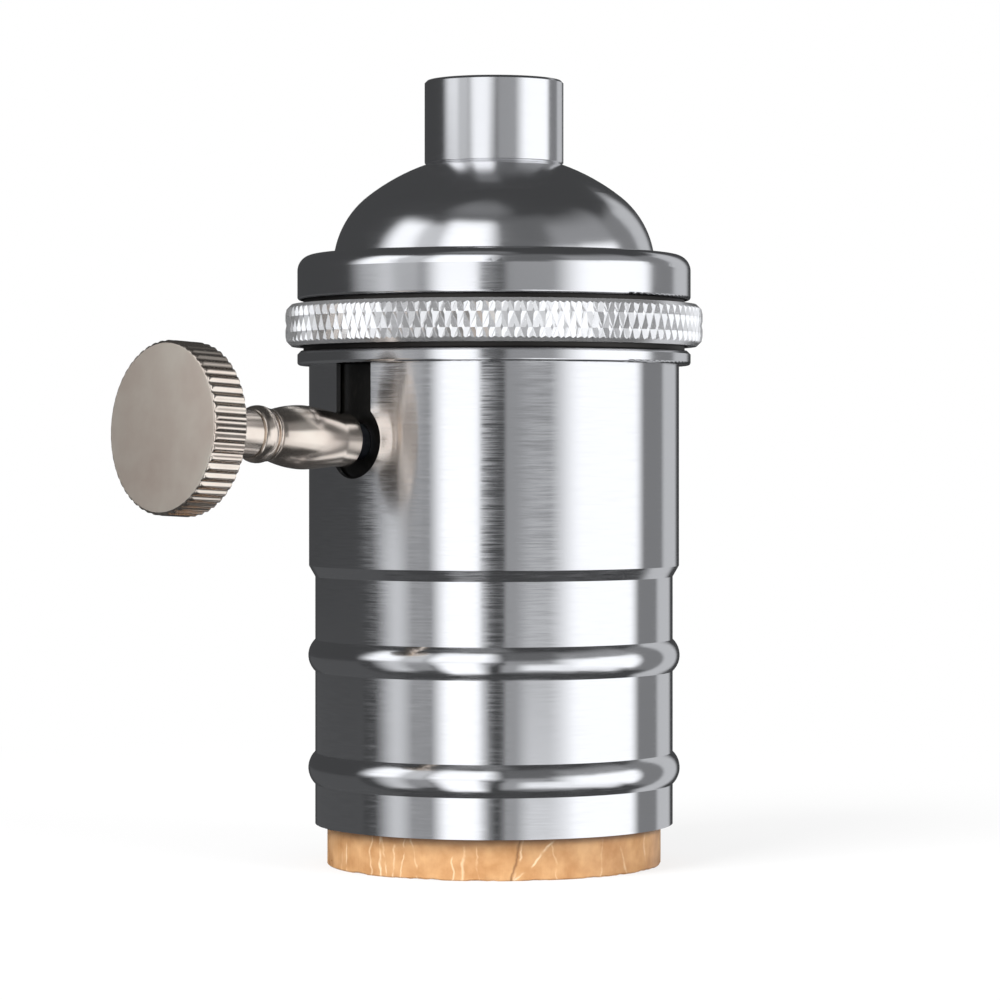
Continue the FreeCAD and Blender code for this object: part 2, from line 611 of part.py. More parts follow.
def cap_dome():
    """Spun cap: a two-radius dome on a short wall, with a flange that the ring clamps."""
    across = "blend_across"
    side = "cap_side_radius"
    return turned("cap_dome", [
        ("cap_radius - cap_wall", "flange_bottom"),
        ("flange_radius", "flange_bottom"),
        ("flange_radius", "flange_bottom + cap_wall"),
        ("cap_radius", "flange_bottom + cap_wall"),
        ("cap_radius", "cap_spring", "left", side),
        (f"{across} * crown_radius", f"cap_spring + blend_up * {side}", "left", "crown_radius"),
        ("hub_radius", "cap_seat"),
        ("hub_spigot", "cap_seat"),
        ("hub_spigot", "cap_seat - cap_wall"),
        ("inner_flat", "cap_seat - cap_wall", "right", "crown_radius - cap_wall"),
        (
            f"{across} * (crown_radius - cap_wall)",
            f"cap_spring + blend_up * ({side} - cap_wall)",
            "right",
            f"{side} - cap_wall",
        ),
        ("cap_radius - cap_wall", "cap_spring"),
    ])


def neck_hub():
    """Turned hub with the cord's bore, its spigot staked over inside the cap."""
    return turned("neck_hub", [
        ("hub_bore", "cap_seat - cap_wall - stake_height"),
        ("stake_radius", "cap_seat - cap_wall - stake_height"),
        ("stake_radius", "cap_seat - cap_wall"),
        ("hub_spigot", "cap_seat - cap_wall"),
        ("hub_spigot", "cap_seat"),
        ("hub_radius - hub_edge", "cap_seat"),
        ("hub_radius", "cap_seat + hub_edge"),
        ("hub_radius", "hub_top - hub_edge"),
        ("hub_radius - hub_edge", "hub_top"),
        ("hub_bore + hub_mouth", "hub_top"),
        ("hub_bore", "hub_top - hub_mouth"),
    ])


def insulating_sleeve():
    """Paper-board tube between the shell and the live screw shell."""
    inner = "sleeve_radius - sleeve_wall"
    return turned("insulating_sleeve", box(inner, "sleeve_radius", "0", "body_bottom - sleeve_gap"))


def switch_body():
    """Upper moulding: the switch chamber, open below, and the holes for spindle and screws."""
    body = turned("switch_moulding", [
        ("0", "body_bottom"),
        ("body_radius", "body_bottom"),
        ("body_radius", "body_top - body_edge"),
        ("body_radius - body_edge", "body_top"),
        ("0", "body_top"),
    ])
    chamber = box("cavity_near", "cavity_far", "-cavity_side", "cavity_side")
    depth = "cavity_top - body_bottom"
    remove(body, "chamber", "XY_Plane", "body_bottom", depth, corners=chamber, forwards=True)
    shank = "screw_radius + screw_clearance"
    blind = [("0", "-tie_across", shank)]
    remove(body, "blind_tie_hole", "XY_Plane", "body_bottom", "tie_depth", circles=blind, forwards=True)
    through = [("0", "tie_across", shank)]
    remove(body, "neutral_tie_hole", "XY_Plane", "body_top", "body_top - body_bottom", circles=through)
    screws = [("-terminal_across", "-terminal_out", shank), ("terminal_across", "terminal_out", shank)]
    remove(body, "terminal_holes", "XY_Plane", "body_top", "terminal_hole", circles=screws)
    wall = "-cavity_side"
    slot = box("strip_start", "strip_start + strip_width", wall, f"{wall} + strip_wall")
    remove(body, "strip_slot", "XY_Plane", "body_top", "cavity_ceiling", corners=slot)
    tail = "spindle_tail + spindle_end_gap"
    bore = rod("spindle_bore", "spindle_radius + spindle_running", f"{tail} + 2 * body_radius")
    tilt(bore, "spindle_tilt - 90")
    place(
        bore,
        across=f"({tail}) * cos(spindle_tilt)",
        up=f"spindle_height - ({tail}) * sin(spindle_tilt)",
    )
    return cut("switch_body", body, bore)


def shell_base():
    """Lower moulding: closes the switch chamber, carries the screw shell and the spring's posts."""
    body = turned("shell_base", box("0", "base_radius", "base_bottom", "body_bottom"))
    for name, middle in (("near_post", "-post_out"), ("far_post", "post_out")):
        corners = box(
            "spring_middle - post_length / 2",
            "spring_middle + post_length / 2",
            f"{middle} - post_width / 2",
            f"{middle} + post_width / 2",
        )
        add(body, name, "XY_Plane", "body_bottom", "post_top - body_bottom", corners)
    shank = "screw_radius + screw_clearance"
    holes = [
        ("0", "-tie_across", shank),
        ("0", "tie_across", shank),
        ("strip_middle", "0", "rivet_radius + rivet_clearance"),
    ]
    remove(body, "base_holes", "XY_Plane", "body_bottom", "base_thickness", circles=holes)
    return body


def thread_faces(stand_off):
    """Flat facets of one face of the rolled lamp thread, which fades out at both ends.

    The rows of facets wind round with the thread, so its crests and roots are their edges.
    """
    columns = int(value("thread_columns"))
    per_turn = int(value("thread_rows"))
    low = value("socket_mouth")
    high = value("floor_bottom + floor_wall / 2")
    pitch = value("thread_pitch")
    margin = value("thread_margin")
    fade = value("thread_fade")
    wave = value("thread_wave")
    mean = value("thread_radius") + stand_off

    def spot(column, row):
        """A point of the net, kept between the two rims."""
        rise = pitch * (row / per_turn + column / columns)
        height = min(high, max(low, low + rise))
        nearest_end = min(height - low, high - height)
        strength = min(1, max(0, (nearest_end - margin) / fade))
        flare = wave * max(0, 1 - (height - low) / (margin + fade))
        phase = 2 * math.pi * (rise / pitch - column / columns)
        away = mean + flare + wave * strength * math.cos(phase)
        angle = 2 * math.pi * (column % columns) / columns
        return FreeCAD.Vector(away * math.cos(angle), away * math.sin(angle), height)

    faces = []
    for row in range(-per_turn, math.ceil(per_turn * (high - low) / pitch)):
        for column in range(columns):
            start = spot(column, row)
            beside = spot(column + 1, row)
            across = spot(column + 1, row + 1)
            above = spot(column, row + 1)
            for face in ((start, beside, across), (start, across, above)):
                if min((face[side] - face[side - 1]).Length for side in range(3)) > SMALLEST_EDGE:
                    faces.append(Part.Face(Part.makePolygon([*face, face[0]])))
    return faces


def rim_faces(height, mean):
    """The flat rim between the two faces of the lamp thread's wall, at one of its ends."""
    columns = int(value("thread_columns"))
    outside = mean + value("socket_wall")
    faces = []
    for column in range(columns):
        corners = []
        for radius, step in ((mean, 0), (mean, 1), (outside, 1), (outside, 0)):
            angle = 2 * math.pi * ((column + step) % columns) / columns
            corners.append(FreeCAD.Vector(radius * math.cos(angle), radius * math.sin(angle), height))
        faces.append(Part.Face(Part.makePolygon([*corners, corners[0]])))
    return faces


def thread_wall():
    """The thin wall between the two faces of the lamp thread."""
    mean = value("thread_radius")
    faces = thread_faces(value("socket_wall")) + thread_faces(0)
    faces += rim_faces(value("socket_mouth"), mean + value("thread_wave"))
    faces += rim_faces(value("floor_bottom + floor_wall / 2"), mean)
    return closed_solid(faces)


def screw_shell():
    """Lamp screw shell: a rolled thread in thin sheet, and a pierced floor that the screws hold."""
    outside = "thread_radius + socket_wall / 2"
    floor = turned("socket_floor", box("floor_hole", outside, "floor_bottom", "base_bottom"))
    shank = "screw_radius + screw_clearance"
    holes = [("0", "-tie_across", shank), ("0", "tie_across", shank)]
    remove(floor, "floor_holes", "XY_Plane", "base_bottom", "floor_wall", circles=holes)
    joined = document.addObject("Part::Fuse", "screw_shell")
    joined.Base = by_code("thread_wall", thread_wall())
    joined.Tool = floor
    joined.Refine = False
    return joined


def centre_contact():
    """Bent brass tongue under the base, which the lamp's foot presses."""
    root = "strip_middle + contact_root"
    slope = f"{root} + contact_run"
    pad = f"{slope} + contact_pad"
    top = "base_bottom"
    under = f"{top} - contact_wall"
    level = f"{top} - contact_drop"
    body = new_body("centre_contact")
    corners = [
        ("strip_middle - contact_root", top),
        ("strip_middle - contact_root", under),
        (root, under),
        (slope, f"{level} - contact_wall"),
        (pad, f"{level} - contact_wall"),
        (f"{pad} + contact_tip", f"{level} - contact_wall + contact_tip"),
        (f"{pad} + contact_tip - contact_wall", f"{level} + contact_tip"),
        (f"{pad} - contact_wall / 2", level),
        (f"{slope} + contact_wall / 2", level),
        (f"{root} + contact_wall / 2", top),
    ]
    add(body, "tongue", "XZ_Plane", "-contact_width / 2", "contact_width", corners)
    hole = [("strip_middle", "0", "rivet_radius + rivet_clearance")]
    remove(body, "tongue_hole", "XY_Plane", top, "contact_wall", circles=hole)
    return body


def contact_rivet():
    """Rivet through lamp strip, base and centre contact, with a head at each end."""
    low = "base_bottom - contact_wall"
    high = "body_bottom + strip_wall"
    body = turned("contact_rivet", [
        ("0", f"{low} - rivet_head_height"),
        ("rivet_head_radius", f"{low} - rivet_head_height"),
        ("rivet_head_radius", low),
        ("rivet_radius", low),
        ("rivet_radius", high),
        ("rivet_head_radius", high),
        ("rivet_head_radius", f"{high} + rivet_head_height"),
        ("0", f"{high} + rivet_head_height"),
    ])
    place(body, across="strip_middle")
    return body


def screw(name, length, head_radius, head_height):
    """Slotted screw, drawn with its head upwards and the head's underside at zero."""
    body = turned(name, [
        ("0", f"-({length})"),
        ("screw_radius - screw_tip", f"-({length})"),
        ("screw_radius", f"screw_tip - ({length})"),
        ("screw_radius", "0"),
        (head_radius, "0"),
        (head_radius, f"{head_height} - head_corner", "left", "head_corner"),
        (f"{head_radius} - head_corner", head_height),
        ("0", head_height),
    ])
    slot = box(f"-{head_radius}", head_radius, "-slot_width / 2", "slot_width / 2")
    remove(body, name + "_slot", "XY_Plane", head_height, "slot_depth", corners=slot)
    return body


def tie_screws():
    """Two screws through screw shell, base and switch body; the longer one is the neutral lead."""
    flipped = FreeCAD.Placement(FreeCAD.Vector(), FreeCAD.Rotation(FreeCAD.Vector(1, 0, 0), FULL_TURN / 2))
    lengths = {
        "blind_tie_screw": ("-tie_across", "body_bottom + tie_depth - tie_end_gap - floor_bottom"),
        "neutral_tie_screw": ("tie_across", "body_top + plate_wall + screw_tip - floor_bottom"),
    }
    screws = []
    for name, (along, length) in lengths.items():
        body = screw(name, length, "tie_head_radius", "tie_head_height")
        body.Placement = flipped
        place(body, along=along, up="floor_bottom")
        screws.append(body)
    return screws


def terminal_screws():
    """Two screws that clamp the leads on the terminal plates."""
    screws = []
    for name, side in (("live_terminal_screw", "-"), ("neutral_terminal_screw", "")):
        body = screw(name, "terminal_length", "terminal_head_radius", "terminal_head_height")
        place(body, across=f"{side}terminal_across", along=f"{side}terminal_out", up="body_top + plate_wall")
        screws.append(body)
    return screws


def live_terminal():
    """Plate on the switch body, with a leg that goes down to the blade."""
    body = new_body("live_terminal")
    wall = "-cavity_side"
    leg = box(wall, f"{wall} + strip_wall", "blade_level - strip_reach", "body_top + plate_wall")
    add(body, "live_leg", "YZ_Plane", "strip_start", "strip_width", leg)
    plate = box("-terminal_across - plate_side", "plate_side", "-plate_outer", f"{wall} + strip_wall")
    add(body, "live_plate", "XY_Plane", "body_top", "plate_wall", plate)
    hole = [("-terminal_across", "-terminal_out", "screw_radius + screw_clearance")]
    remove(body, "live_hole", "XY_Plane", "body_top + plate_wall", "plate_wall", circles=hole)
    return body


def neutral_terminal():
    """Plate on the switch body that the longer tie screw and the terminal screw go through."""
    body = new_body("neutral_terminal")
    plate = box("-plate_side", "terminal_across + plate_side", "cavity_side - strip_wall", "plate_outer")
    add(body, "neutral_plate", "XY_Plane", "body_top", "plate_wall", plate)
    shank = "screw_radius + screw_clearance"
    holes = [("0", "tie_across", shank), ("terminal_across", "terminal_out", shank)]
    remove(body, "neutral_holes", "XY_Plane", "body_top + plate_wall", "plate_wall", circles=holes)
    return body


def lamp_strip():
    """Strip from the switch's second contact down to the centre contact's rivet."""
    body = new_body("lamp_strip")
    wall = "cavity_side"
    corners = [
        ("-strip_foot", "body_bottom"),
        (wall, "body_bottom"),
        (wall, "blade_level + strip_reach"),
        (f"{wall} - strip_wall", "blade_level + strip_reach"),
        (f"{wall} - strip_wall", "body_bottom + strip_wall"),
        ("-strip_foot", "body_bottom + strip_wall"),
    ]
    add(body, "strip_bend", "YZ_Plane", "strip_start", "strip_width", corners)
    hole = [("strip_middle", "0", "rivet_radius + rivet_clearance")]
    remove(body, "strip_hole", "XY_Plane", "body_bottom + strip_wall", "strip_wall", circles=hole)
    return body


def detent_spring():
    """Bowed leaf on two posts, just under the cam."""
    body = new_body("detent_spring")
    ends = "spring_top - spring_bow"
    corners = [
        ("-spring_half", f"{ends} - spring_wall", "right", "spring_curve"),
        ("spring_half", f"{ends} - spring_wall"),
        ("spring_half", ends, "left", "spring_curve"),
        ("-spring_half", ends),
    ]
    add(body, "leaf", "YZ_Plane", "spring_middle - spring_width / 2", "spring_width", corners)
    return body


def spindle():
    """Turned spindle with a flat for the rotor; the knob screws on its nose."""
    body = turned("spindle", [
        ("-spindle_nose", "0"),
        ("-spindle_nose", "spindle_radius - spindle_tip"),
        ("spindle_tip - spindle_nose", "spindle_radius"),
        ("spindle_tail - spindle_tip", "spindle_radius"),
        ("spindle_tail", "spindle_radius - spindle_tip"),
        ("spindle_tail", "0"),
    ], axis="H_Axis")
    flat = box("-spindle_radius", "spindle_radius", "spindle_flat", "2 * spindle_radius")
    remove(body, "flat", "YZ_Plane", "rotor_back", "rotor_back - rotor_front", corners=flat)
    pin = [("pin_place", "0", "pin_radius + fixed_fit")]
    remove(body, "spindle_pin_hole", "XY_Plane", "rotor_radius", "2 * rotor_radius", circles=pin)
    on_spindle(body)
    return body


def rotor():
    """Moulded rotor: a square seat for the blade, a drum for the pin and a notched cam."""
    body = turned("rotor", [
        ("rotor_shoulder", "0"),
        ("rotor_shoulder", "rotor_radius"),
        ("rotor_cam", "rotor_radius"),
        ("rotor_cam", "cam_radius"),
        ("rotor_back", "cam_radius"),
        ("rotor_back", "0"),
    ], axis="H_Axis")
    half = "rotor_square / 2"
    seat = box(f"-{half}", half, f"-{half}", half)
    add(body, "square_seat", "YZ_Plane", "rotor_front", "rotor_shoulder - rotor_front", seat)
    notch = [("0", "cam_radius + notch_radius - notch_depth", "notch_radius")]
    depth = "rotor_back - rotor_cam"
    one_notch = remove(body, "cam_notch", "YZ_Plane", "rotor_back", depth, circles=notch)
    repeat_round(body, "cam_notches", one_notch, "X_Axis", "4")
    radius = "spindle_radius + fixed_fit"
    level = "spindle_flat + fixed_fit"
    half_flat = f"sqrt(({radius}) ^ 2 - ({level}) ^ 2)"
    bore = [
        (half_flat, level),
        (f"-{half_flat}", level, "left", radius),
        ("0", f"-({radius})", "left", radius),
    ]
    remove(body, "flatted_bore", "YZ_Plane", "rotor_back", "rotor_back - rotor_front", corners=bore)
    pin = [("pin_place", "0", "pin_radius + fixed_fit")]
    remove(body, "rotor_pin_hole", "XY_Plane", "rotor_radius", "2 * rotor_radius", circles=pin)
    on_spindle(body)
    return body


def rotor_blade():
    """Brass blade on the rotor's square seat; its two tips bridge the contacts."""
    body = new_body("rotor_blade")
    half = "blade_width / 2"
    corners = [
        ("blade_end", f"-{half}", "left", "blade_reach"),
        ("blade_end", half),
        ("blade_root", half, "left", "blade_hub"),
        ("-blade_root", half),
        ("-blade_end", half, "left", "blade_reach"),
        ("-blade_end", f"-{half}"),
        ("-blade_root", f"-{half}", "left", "blade_hub"),
        ("blade_root", f"-{half}"),
    ]
    add(body, "blade", "YZ_Plane", "rotor_shoulder - blade_wall", "blade_wall", corners)
    side = "rotor_square / 2 + fixed_fit"
    seat = box(f"-({side})", side, f"-({side})", side)
    remove(body, "blade_seat", "YZ_Plane", "rotor_shoulder", "blade_wall", corners=seat)
    on_spindle(body)
    return body


def rotor_pin():
    """Cross pin through drum and spindle."""
    half = "rotor_radius - pin_inset"
    body = turned("rotor_pin", box("0", "pin_radius", f"-({half})", half))
    tilt(body, "spindle_tilt")
    place(
        body,
        across="pin_place * cos(spindle_tilt)",
        up="spindle_height - pin_place * sin(spindle_tilt)",
    )
    return body


def knob():
    """Turned knob and stem in one piece: a fluted disc, a bead, a fine ring and a barrel."""
    core = "fillet_ring_core"
    body = turned("knob", [
        ("-knob_face", "0"),
        ("-knob_face", "knob_radius - knob_edge"),
        ("knob_edge - knob_face", "knob_radius"),
        ("-disc_back - knob_back_edge", "knob_radius"),
        ("-disc_back", "knob_radius - knob_back_edge"),
        ("-disc_back", "neck_radius + neck_cove", "left", "neck_cove"),
        ("neck_cove - disc_back", "neck_radius"),
        ("-(bead_start + stem_bead_width)", "neck_radius", "right", "stem_bead_curve"),
        ("-bead_start", core),
        ("-(ring_place + fillet_ring_width)", core, "right", "fillet_ring_curve"),
        ("-ring_place", core),
        ("-barrel_end", core),
        ("-barrel_end", "barrel_neck", "right", "barrel_front_curve"),
        ("-barrel_crest", "barrel_radius", "right", "barrel_back_curve"),
        ("-barrel_start", "stem_radius"),
        ("-stem_end - stem_edge", "stem_radius"),
        ("-stem_end", "stem_radius - stem_edge"),
        ("-stem_end", "spindle_radius + fixed_fit"),
        ("-spindle_nose - fixed_fit", "spindle_radius + fixed_fit"),
        ("-spindle_nose - fixed_fit", "0"),
    ], axis="H_Axis")
    groove = [("0", "knob_radius - flute_sink", "flute_radius")]
    flute = remove(body, "flute", "YZ_Plane", "-disc_back", "knob_thickness", circles=groove)
    repeat_round(body, "flutes", flute, "X_Axis", "flute_count")
    on_spindle(body)
    return body


pieces = [
    neck_hub(),
    cap_dome(),
    knurled_ring(),
    outer_shell(),
    insulating_sleeve(),
    switch_body(),
    shell_base(),
    screw_shell(),
    centre_contact(),
    contact_rivet(),
    *tie_screws(),
    live_terminal(),
    neutral_terminal(),
    *terminal_screws(),
    lamp_strip(),
    detent_spring(),
    spindle(),
    rotor(),
    rotor_blade(),
    rotor_pin(),
    knob(),
]
document.recompute()

for item in document.Objects:
    if "Invalid" in item.State or "Error" in item.State:
        raise RuntimeError(f"{item.Label} failed: {item.State}")
    if item.TypeId == "PartDesign::Pocket":
        if item.BaseFeature.Shape.Volume - item.Shape.Volume < SMALLEST_CUT:
            raise RuntimeError(f"{item.Label} cuts nothing")
for piece in pieces:
    if piece.Shape.isNull() or not piece.Shape.isValid() or len(piece.Shape.Solids) != 1:
        raise RuntimeError(f"{piece.Label} isn't one good solid")

os.makedirs("parts", exist_ok=True)
for piece in pieces:
    piece.Shape.exportStep(os.path.join("parts", piece.Label + ".step"))
    print(f"{piece.Label}: {piece.Shape.Volume:.1f} cubic mm")
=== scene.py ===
import math

import bmesh
import bpy
from mathutils import Matrix, Vector, noise


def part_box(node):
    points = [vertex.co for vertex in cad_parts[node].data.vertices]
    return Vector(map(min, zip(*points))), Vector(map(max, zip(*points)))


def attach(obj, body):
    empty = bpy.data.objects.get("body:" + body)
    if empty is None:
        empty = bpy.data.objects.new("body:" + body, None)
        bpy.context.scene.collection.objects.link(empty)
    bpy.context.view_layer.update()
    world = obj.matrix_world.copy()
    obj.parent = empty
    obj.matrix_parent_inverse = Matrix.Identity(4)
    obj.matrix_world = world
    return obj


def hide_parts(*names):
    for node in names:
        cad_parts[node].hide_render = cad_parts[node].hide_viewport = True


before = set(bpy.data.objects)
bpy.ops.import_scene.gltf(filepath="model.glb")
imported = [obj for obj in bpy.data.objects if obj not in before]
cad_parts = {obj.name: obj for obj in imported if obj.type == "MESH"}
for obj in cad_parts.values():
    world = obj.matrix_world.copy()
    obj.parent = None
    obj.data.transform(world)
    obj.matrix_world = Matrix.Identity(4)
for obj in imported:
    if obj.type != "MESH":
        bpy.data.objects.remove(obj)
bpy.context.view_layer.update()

# Screw shell
# The thin brass shell that the lamp screws into. Its thread is rolled into the sheet, so the
# waves show inside and out. It runs out plain at the mouth and turns in to a pierced floor.
MM = 0.001
SOCKET_MOUTH = 2.6
SOCKET_FLOOR = 22.6
SOCKET_WALL = 0.35
FLOOR_HOLE = 6.6
THREAD_RADIUS = 12.8
THREAD_WAVE = 0.52
THREAD_PITCH = 3.629
# how much of each end stays plain, and how soon the wave grows past it
THREAD_MARGIN = 1.2
THREAD_FADE = 1.6
TURN_STEPS = 120
PITCH_STEPS = 16
SAME_SPOT = 0.001
SHARP_EDGE = 40
BRASS_PLATE = "#dcb968"
BRASS_TARNISH = "#a97f3d"
TARNISH_SPOT = 5.0
ROLLING_LINE = 0.25


def linear(hex_colour):
    """A colour written as sRGB hex, as the linear colour that the shaders take."""
    channels = [int(hex_colour[start:start + 2], 16) / 255 for start in (1, 3, 5)]
    return [c / 12.92 if c <= 0.04045 else ((c + 0.055) / 1.055) ** 2.4 for c in channels] + [1.0]


def add_node(tree, kind, settings=None, **links):
    """Adds a node. Settings are its properties; links are its inputs, as values or other sockets."""
    node = tree.nodes.new(kind)
    for name, setting in (settings or {}).items():
        setattr(node, name, setting)
    for name, source in links.items():
        socket = node.inputs[int(name[1:])] if name[1:].isdigit() else node.inputs[name.replace("_", " ")]
        if isinstance(source, bpy.types.NodeSocket):
            tree.links.new(source, socket)
        else:
            socket.default_value = source
    return node


def new_material(name):
    """An empty material with its output node and its Object coordinates."""
    material = bpy.data.materials.new(name)
    material.use_nodes = True
    tree = material.node_tree
    tree.nodes.clear()
    output = add_node(tree, "ShaderNodeOutputMaterial")
    place = add_node(tree, "ShaderNodeTexCoord").outputs["Object"]
    return material, tree, output, place


def coat(material, *nodes):
    """Gives CAD nodes their finish."""
    for name in nodes:
        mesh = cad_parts[name].data
        mesh.materials.clear()
        mesh.materials.append(material)


def add_object(name, shape, material):
    """Turns a finished bmesh into an object of the scene."""
    mesh = bpy.data.meshes.new(name)
    shape.to_mesh(mesh)
    shape.free()
    mesh.materials.append(material)
    made = bpy.data.objects.new(name, mesh)
    bpy.context.scene.collection.objects.link(made)
    return made


def add_piece(name, shape, material, body, instead_of):
    """Turns a finished bmesh into a piece that rides on its body in place of a CAD node."""
    piece = add_object(name, shape, material)
    piece.data.shade_smooth()
    piece.data.set_sharp_from_angle(angle=math.radians(SHARP_EDGE))
    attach(piece, body)
    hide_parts(instead_of)
    return piece


def tool_lines(tree, place, pitch, length, depth, strength):
    """Bump of the fine lines that a cutting or rolling tool leaves round Z, with sizes in millimetres."""
    scale = (1 / (length * MM), 1 / (length * MM), 1 / (pitch * MM))
    stretched = add_node(tree, "ShaderNodeMapping", Vector=place, Scale=scale).outputs[0]
    lines = add_node(tree, "ShaderNodeTexNoise", Vector=stretched, Scale=1.0, Detail=3.0).outputs[0]
    relief = add_node(tree, "ShaderNodeBump", Height=lines, Distance=depth * MM, Strength=strength)
    return relief.outputs[0], lines


# Pressed brass: warm yellow, satin where the rolls ran, a little browner in spots with age. The
# rolls' real lines are too fine to show, so they are drawn coarser.
brass, tree, output, place = new_material("pressed_brass")
spots = add_node(
    tree, "ShaderNodeTexNoise", Vector=place, Scale=1 / (TARNISH_SPOT * MM), Detail=4.0
).outputs[0]
spread = add_node(tree, "ShaderNodeMapRange", Value=spots, From_Min=0.45, From_Max=0.75).outputs[0]
tint = add_node(
    tree, "ShaderNodeMix", {"data_type": "RGBA"}, _0=spread, _6=linear(BRASS_PLATE), _7=linear(BRASS_TARNISH)
).outputs[2]
gloss = add_node(tree, "ShaderNodeMapRange", Value=spots, To_Min=0.2, To_Max=0.38).outputs[0]
relief = tool_lines(tree, place, pitch=ROLLING_LINE, length=50, depth=0.004, strength=0.4)[0]
shader = add_node(
    tree, "ShaderNodeBsdfPrincipled", Base_Color=tint, Metallic=1.0, Roughness=gloss, Normal=relief
)
tree.links.new(shader.outputs[0], output.inputs[0])

# One pitch of wave after another is spun up the helix, then cut off level at mouth and floor.
shape = bmesh.new()
rows = range(-PITCH_STEPS, int(PITCH_STEPS * (SOCKET_FLOOR - SOCKET_MOUTH) / THREAD_PITCH) + 2)
wave = []
for row in rows:
    turn = math.tau * row / PITCH_STEPS
    across = THREAD_RADIUS + THREAD_WAVE * math.cos(turn)
    up = SOCKET_MOUTH + THREAD_PITCH * row / PITCH_STEPS
    wave.append(shape.verts.new(Vector((across, 0, up)) * MM))
edges = [shape.edges.new(pair) for pair in zip(wave, wave[1:])]
bmesh.ops.spin(
    shape, geom=wave + edges, cent=(0, 0, 0), axis=(0, 0, 1), dvec=(0, 0, THREAD_PITCH * MM / TURN_STEPS),
    angle=math.tau, steps=TURN_STEPS,
)
bmesh.ops.remove_doubles(shape, verts=shape.verts, dist=SAME_SPOT * MM)
for height, side in ((SOCKET_MOUTH, -1), (SOCKET_FLOOR, 1)):
    trimmed = bmesh.ops.bisect_plane(
        shape, geom=shape.verts[:] + shape.edges[:] + shape.faces[:], plane_co=(0, 0, height * MM),
        plane_no=(0, 0, side), clear_outer=True,
    )
for spot in shape.verts:
    height = spot.co.z / MM
    away = spot.co.xy.length / MM
    near_end = min(height - SOCKET_MOUTH, SOCKET_FLOOR - height)
    strength = min(1, max(0, (near_end - THREAD_MARGIN) / THREAD_FADE))
    flare = THREAD_WAVE * max(0, 1 - (height - SOCKET_MOUTH) / (THREAD_MARGIN + THREAD_FADE))
    spot.co.xy *= (THREAD_RADIUS + flare + (away - THREAD_RADIUS) * strength) / away
rim = [edge for edge in trimmed["geom_cut"] if isinstance(edge, bmesh.types.BMEdge)]
turned_in = bmesh.ops.extrude_edge_only(shape, edges=rim)["geom"]
inner = [spot for spot in turned_in if isinstance(spot, bmesh.types.BMVert)]
bmesh.ops.scale(shape, verts=inner, vec=(FLOOR_HOLE / THREAD_RADIUS, FLOOR_HOLE / THREAD_RADIUS, 1))
bmesh.ops.recalc_face_normals(shape, faces=shape.faces)
if sum(face.normal.xy.dot(face.calc_center_median().xy) for face in shape.faces) < 0:
    bmesh.ops.reverse_faces(shape, faces=shape.faces)
socket = add_piece("rolled_thread", shape, brass, "holder", "screw_shell")
wall = socket.modifiers.new("wall", "SOLIDIFY")
wall.thickness = SOCKET_WALL * MM
wall.offset = 1

# Contact rivet, terminals, strip and blade
# Stamped and turned brass that carries the current from the two terminals to the lamp. Only
# what a look into the socket or the keyhole reaches is ever seen.
coat(brass, "contact_rivet", "live_terminal", "neutral_terminal", "lamp_strip", "rotor_blade")

# Centre contact and detent spring
# Springy bronze strip, bent cold: the tongue under the lamp's foot and the leaf that makes the
# switch click. It is redder than the brass round it, with a drawn grain.
BRONZE = "#c98d5b"
BRONZE_DARK = "#9c6238"
DRAWN_GRAIN = 0.12
GRAIN_LENGTH = 10

# Phosphor bronze strip: reddish, satin, with the rolling grain along its length. The real grain
# is too fine to show, so it is drawn coarser.
bronze, tree, output, place = new_material("phosphor_bronze")
grain_scale = (1 / (GRAIN_LENGTH * MM), 1 / (DRAWN_GRAIN * MM), 1 / (GRAIN_LENGTH * MM))
grain_place = add_node(tree, "ShaderNodeMapping", Vector=place, Scale=grain_scale).outputs[0]
grain = add_node(tree, "ShaderNodeTexNoise", Vector=grain_place, Scale=1.0, Detail=3.0).outputs[0]
tint = add_node(
    tree, "ShaderNodeMix", {"data_type": "RGBA"}, _0=grain, _6=linear(BRONZE), _7=linear(BRONZE_DARK)
).outputs[2]
gloss = add_node(tree, "ShaderNodeMapRange", Value=grain, To_Min=0.22, To_Max=0.36).outputs[0]
shader = add_node(tree, "ShaderNodeBsdfPrincipled", Base_Color=tint, Metallic=1.0, Roughness=gloss)
tree.links.new(shader.outputs[0], output.inputs[0])
coat(bronze, "centre_contact", "detent_spring")

# Base, switch body and rotor
# Black phenolic mouldings that carry the live parts. The open keyhole shows the switch body's
# side behind the stem, and the base shows inside the screw shell's floor.
PHENOLIC = "#080706"
PHENOLIC_PALE = "#171412"
FILLER_GRAIN = 0.6

# Phenolic moulding: near black, glossy from the mould, faintly mottled by its wood-flour filler.
phenolic, tree, output, place = new_material("black_phenolic")
mottle = add_node(
    tree, "ShaderNodeTexNoise", Vector=place, Scale=1 / (FILLER_GRAIN * MM), Detail=5.0
).outputs[0]
spread = add_node(tree, "ShaderNodeMapRange", Value=mottle, From_Min=0.5, From_Max=0.9).outputs[0]
tint = add_node(
    tree, "ShaderNodeMix", {"data_type": "RGBA"}, _0=spread, _6=linear(PHENOLIC), _7=linear(PHENOLIC_PALE)
).outputs[2]
gloss = add_node(tree, "ShaderNodeMapRange", Value=mottle, To_Min=0.3, To_Max=0.45).outputs[0]
relief = add_node(tree, "ShaderNodeBump", Height=mottle, Distance=0.01 * MM, Strength=0.3).outputs[0]
shader = add_node(
    tree, "ShaderNodeBsdfPrincipled", Base_Color=tint, Roughness=gloss, Specular_IOR_Level=0.25, Normal=relief
)
tree.links.new(shader.outputs[0], output.inputs[0])
coat(phenolic, "switch_body", "shell_base", "rotor")

